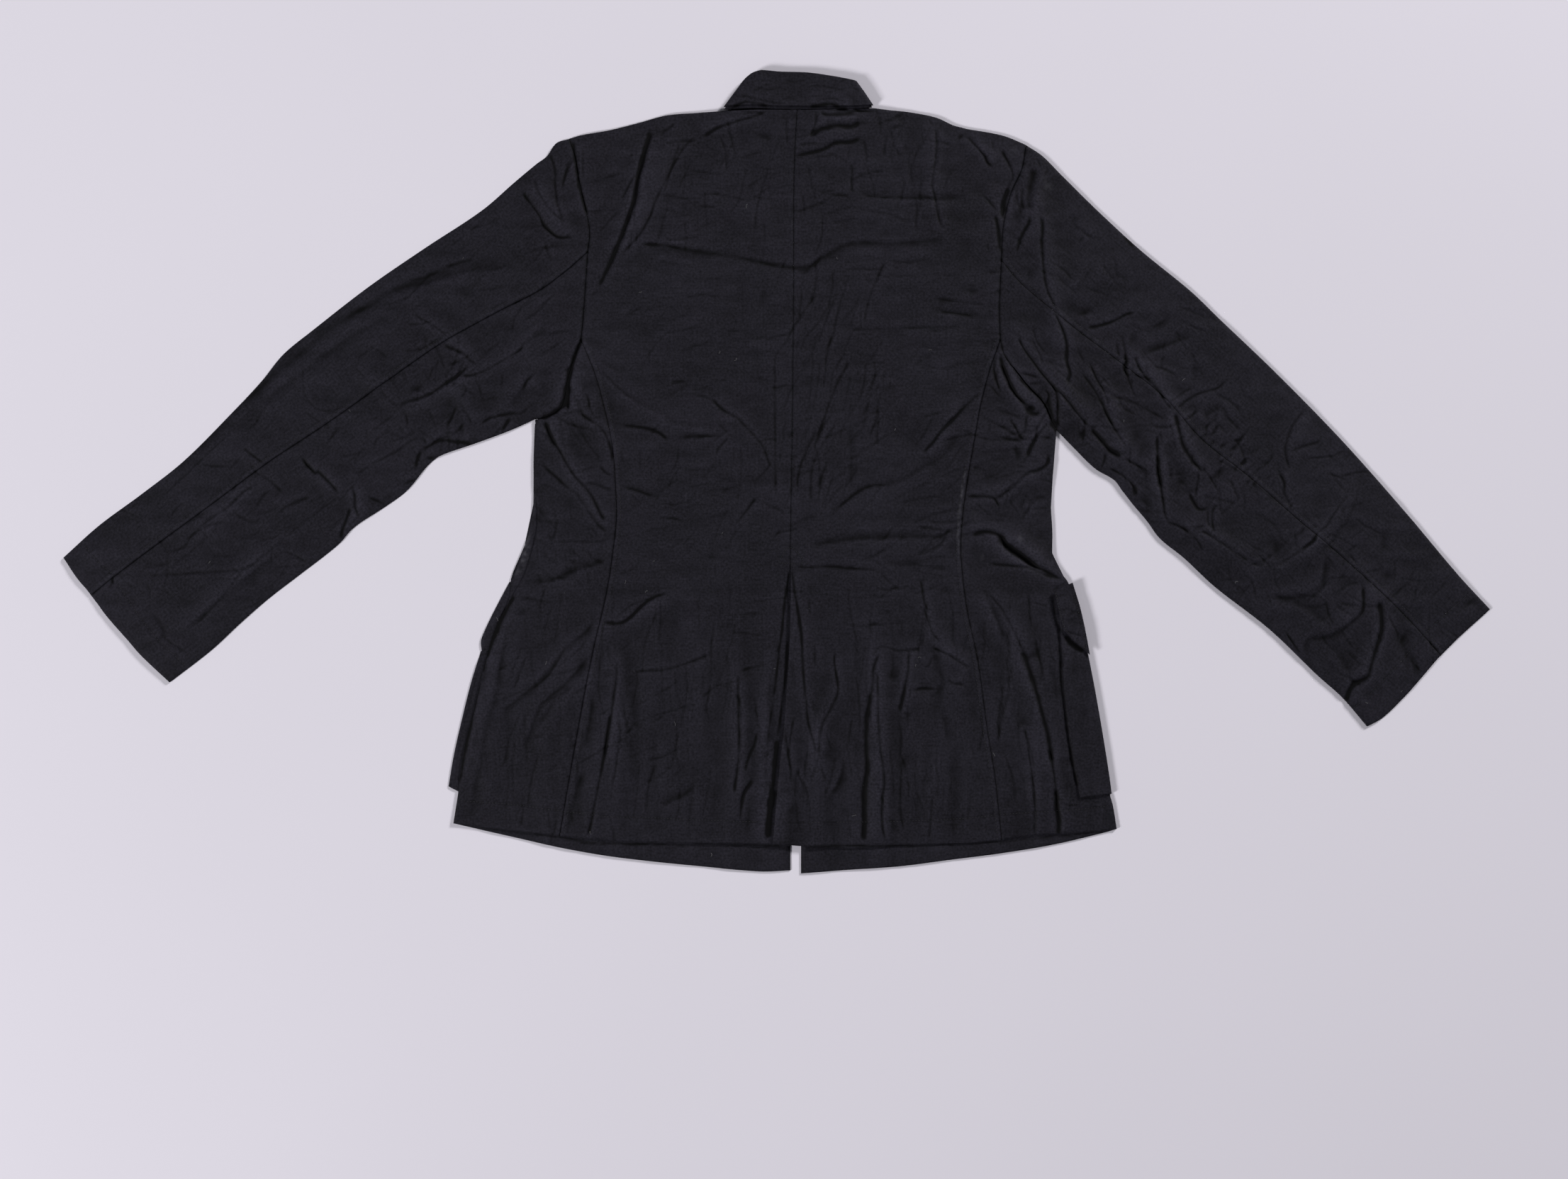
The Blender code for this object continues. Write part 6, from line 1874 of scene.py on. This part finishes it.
@dataclass
class Sewing:
    """Rows of stitches, and the lint that clings to the cloth."""

    workshop: Workshop
    stitch: float = 2.1
    thick: float = 0.42
    fibre: float = 0.3
    fibre_lift: float = 0.12
    fibre_parts: int = 3
    stitch_draw: float = 1.12
    fibre_draw: float = 1.2
    fibre_lengths: tuple[float, float] = (0.7, 1.5)
    fibre_bend: float = 0.9

    def on_cloth(self, places: Array, lift: float) -> Array:
        """Points in metres, lifted off the back layer."""
        return self.workshop.world(raised(places, self.workshop.relief.tops(places) + lift))

    @staticmethod
    def bead(work: bmesh.types.BMesh, centre: Vector, along: Vector, length: float, thick: float) -> None:
        """Add one short thread, a drawn-out ball along its direction.

        Args:
            work: The shapes that it joins.
            centre: Its middle.
            along: Its direction.
            length: Its length.
            thick: Its thickness.
        """
        turn = along.to_track_quat("X", "Z").to_matrix().to_4x4()
        size = Matrix.Diagonal((length / 2.0, thick / 2.0, thick / 2.0, 1.0))
        bmesh.ops.create_icosphere(work, subdivisions=1, radius=1.0, matrix=Matrix.Translation(centre) @ turn @ size)

    def rows(self, name: str, *rows: Row) -> None:
        """Sew rows of stitches as one piece.

        Args:
            name: The piece's name.
            rows: The rows.
        """
        work = bmesh.new()
        for row in rows:
            run = Draft.run(row.path)
            run = run + Draft.square(run) * row.offset
            starts = np.arange(row.pitch * 0.4, Draft.reach(run)[-1] - self.stitch, row.pitch)
            ends = (self.on_cloth(Draft.at(run, spots), row.lift) for spots in (starts, starts + self.stitch))
            for first, second in zip(*ends):
                along = Vector(second - first)
                length = along.length * self.stitch_draw
                self.bead(work, Vector((first + second) / 2.0), along, length, self.thick * MM)
        self.close(name, work, "thread")

    def lint(self) -> None:
        """Scatter the bent fibres that cling to the cloth."""
        chance = np.random.default_rng(29)
        work = bmesh.new()
        for place in Draft.points(LINT):
            angle, bend = chance.uniform(0.0, math.pi), chance.uniform(-self.fibre_bend, self.fibre_bend)
            length = chance.uniform(*self.fibre_lengths)
            for part in range(self.fibre_parts):
                way = np.array([math.cos(angle + bend * part), math.sin(angle + bend * part)])
                centre = Vector(self.on_cloth((place + way * length / 2.0)[None], self.fibre_lift)[0])
                self.bead(work, centre, Vector((*way, 0.0)), length * self.fibre_draw * MM, self.fibre * MM)
                place = place + way * length
        self.close("lint", work, "lint")

    def close(self, name: str, work: bmesh.types.BMesh, finish: str) -> None:
        """Turn small threads into one piece.

        Args:
            name: The piece's name.
            work: The threads.
            finish: Key of their finish.
        """
        mesh = mesh_of(name, work)
        mesh.materials.append(self.workshop.finishes[finish])
        mesh.shade_smooth()
        self.workshop.lay(name, mesh, "twill")


@dataclass(frozen=True)
class Lamp:
    """A soft square lamp: where it hangs, the place that it faces and its side in metres, its watts and its tint."""

    name: str
    place: tuple[float, float, float]
    aim: tuple[float, float, float]
    size: float
    power: float
    tint: tuple[float, float, float]

    def hang(self) -> None:
        """Hang the lamp over the floor."""
        light = bpy.data.lights.new(self.name, "AREA")
        light.shape, light.size, light.energy, light.color = "SQUARE", self.size, self.power, self.tint
        lamp = put(self.name, light)
        lamp.location = self.place
        lamp.rotation_euler = (Vector(self.aim) - Vector(self.place)).to_track_quat("-Z", "Y").to_euler()


# One lamp low from the lower left, a softer one from the upper right
LAMPS: tuple[Lamp, ...] = (
    Lamp("left_window", (-4.3, -2.4, 3.0), (-2.0, -0.8, 0.0), 1.3, 232.0, (1.0, 0.985, 1.0)),
    Lamp("right_window", (4.05, 4.0, 2.7), (-2.0, 2.0, 0.0), 1.2, 371.0, (1.0, 0.98, 0.99)),
)


@dataclass
class Studio:
    """Camera, floor and the room's light."""

    place: Array
    height: float = 2.6
    lens: float = 60.45
    floor_drop: float = 0.0003
    sky_tint: Tint = (0.93, 0.95, 1.0, 1.0)
    sky_strength: float = 0.12

    def camera(self) -> None:
        """Hang the camera straight over the garment."""
        lens = bpy.data.cameras.new("camera")
        lens.lens = self.lens
        lens.sensor_width = 36.0
        view = put("camera", lens)
        view.location = (*self.place, self.height)
        bpy.context.scene.camera = view

    def sky(self) -> None:
        """Fill the room with even light."""
        world = bpy.data.worlds.new("room")
        world.use_nodes = True
        ground = world.node_tree.nodes["Background"]
        ground.inputs["Color"].default_value = self.sky_tint
        ground.inputs["Strength"].default_value = self.sky_strength
        bpy.context.scene.world = world
        bpy.context.scene.view_settings.view_transform = "Standard"

    def floor(self, paper: bpy.types.Material) -> None:
        """Spread the pale paper.

        Args:
            paper: The paper's material.
        """
        work = bmesh.new()
        middle = Matrix.Translation((*self.place, -self.floor_drop))
        bmesh.ops.create_grid(work, x_segments=4, y_segments=4, size=3.0, matrix=middle)
        mesh = mesh_of("floor", work)
        mesh.materials.append(paper)
        put("floor", mesh)


def painted_relief() -> Relief:
    """Paint every crease, seam and pale mark on the lie of the cloth, and the painted crease shading.

    Returns:
        The painted relief.
    """
    relief = Relief()
    turn = 0
    for entry in CREASES:
        if isinstance(entry, Press):
            press = entry
        else:
            relief.press(press, np.cumsum(Draft.points(entry), axis=0), turn)
            turn += 1
    for seed, patch in enumerate(CRACKLES, 101):
        relief.crackle(patch, seed)
    for seam in SEAMS:
        relief.sew(seam)
    # Pale marks: rubbed wear and a painted sheen.
    for place in PALE_MARKS:
        relief.paint_pale_mark(place)
    # Painted shade in the creases and painted light on the ridges.
    relief.settle()
    log.info("painted %d creases and %d seams", turn, len(SEAMS))
    return relief


def main() -> None:
    """Make every piece of the jacket, then the studio round it."""
    logging.basicConfig(level=logging.INFO, format="%(name)s: %(message)s")
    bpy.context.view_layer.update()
    left_end = float(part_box("front_left")[1][0]) / MM - LEFT.front_edge
    low_end = float(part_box("front_right")[0][1]) / MM - RIGHT.front_hem[1]
    origin = np.array([left_end, low_end])
    twill = Twill("black_twill").material()
    finishes = {"twill": twill, "twill_folded": twill, "thread": THREAD.material(), "lint": FIBRE.material()}
    workshop = Workshop(painted_relief(), origin, finishes)
    halves = LEFT, RIGHT
    for half in halves:
        Front(workshop, half).make()
    Backs(workshop).make()
    for part in (SidePanel, Sleeve):
        for half in halves:
            part(workshop, half).make()
    Collar(workshop).make()
    Pockets(workshop).make()
    sewing = Sewing(workshop)
    seams = Row(LEFT.princess, 4.2), Row(RIGHT.princess, -4.2), Row(LEFT.elbow, -4.6), Row(RIGHT.elbow, 4.6)
    sewing.rows("seam_stitches", *seams)
    sewing.rows("hem_stitches", Row(LEFT_HEM_STITCHES), Row(RIGHT_HEM_STITCHES), Row(VENT_STITCHES, pitch=2.4))
    sewing.rows("cuff_stitches", Row(LEFT_CUFF_STITCHES), Row(RIGHT_CUFF_STITCHES), Row(RIGHT_THREAD_ENDS))
    sewing.rows("flap_stitches", Row(FLAP_STITCHES, pitch=2.6, lift=FLAP_SEAT + FLAP_WALL + Row.lift))
    sewing.lint()
    studio = Studio((origin + VIEW_MIDDLE) * MM)
    studio.camera()
    for lamp in LAMPS:
        lamp.hang()
    studio.sky()
    studio.floor(PAPER.material())
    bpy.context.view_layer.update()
    log.info("%d pieces", len(workshop.made))


if __name__ == "__main__":
    main()
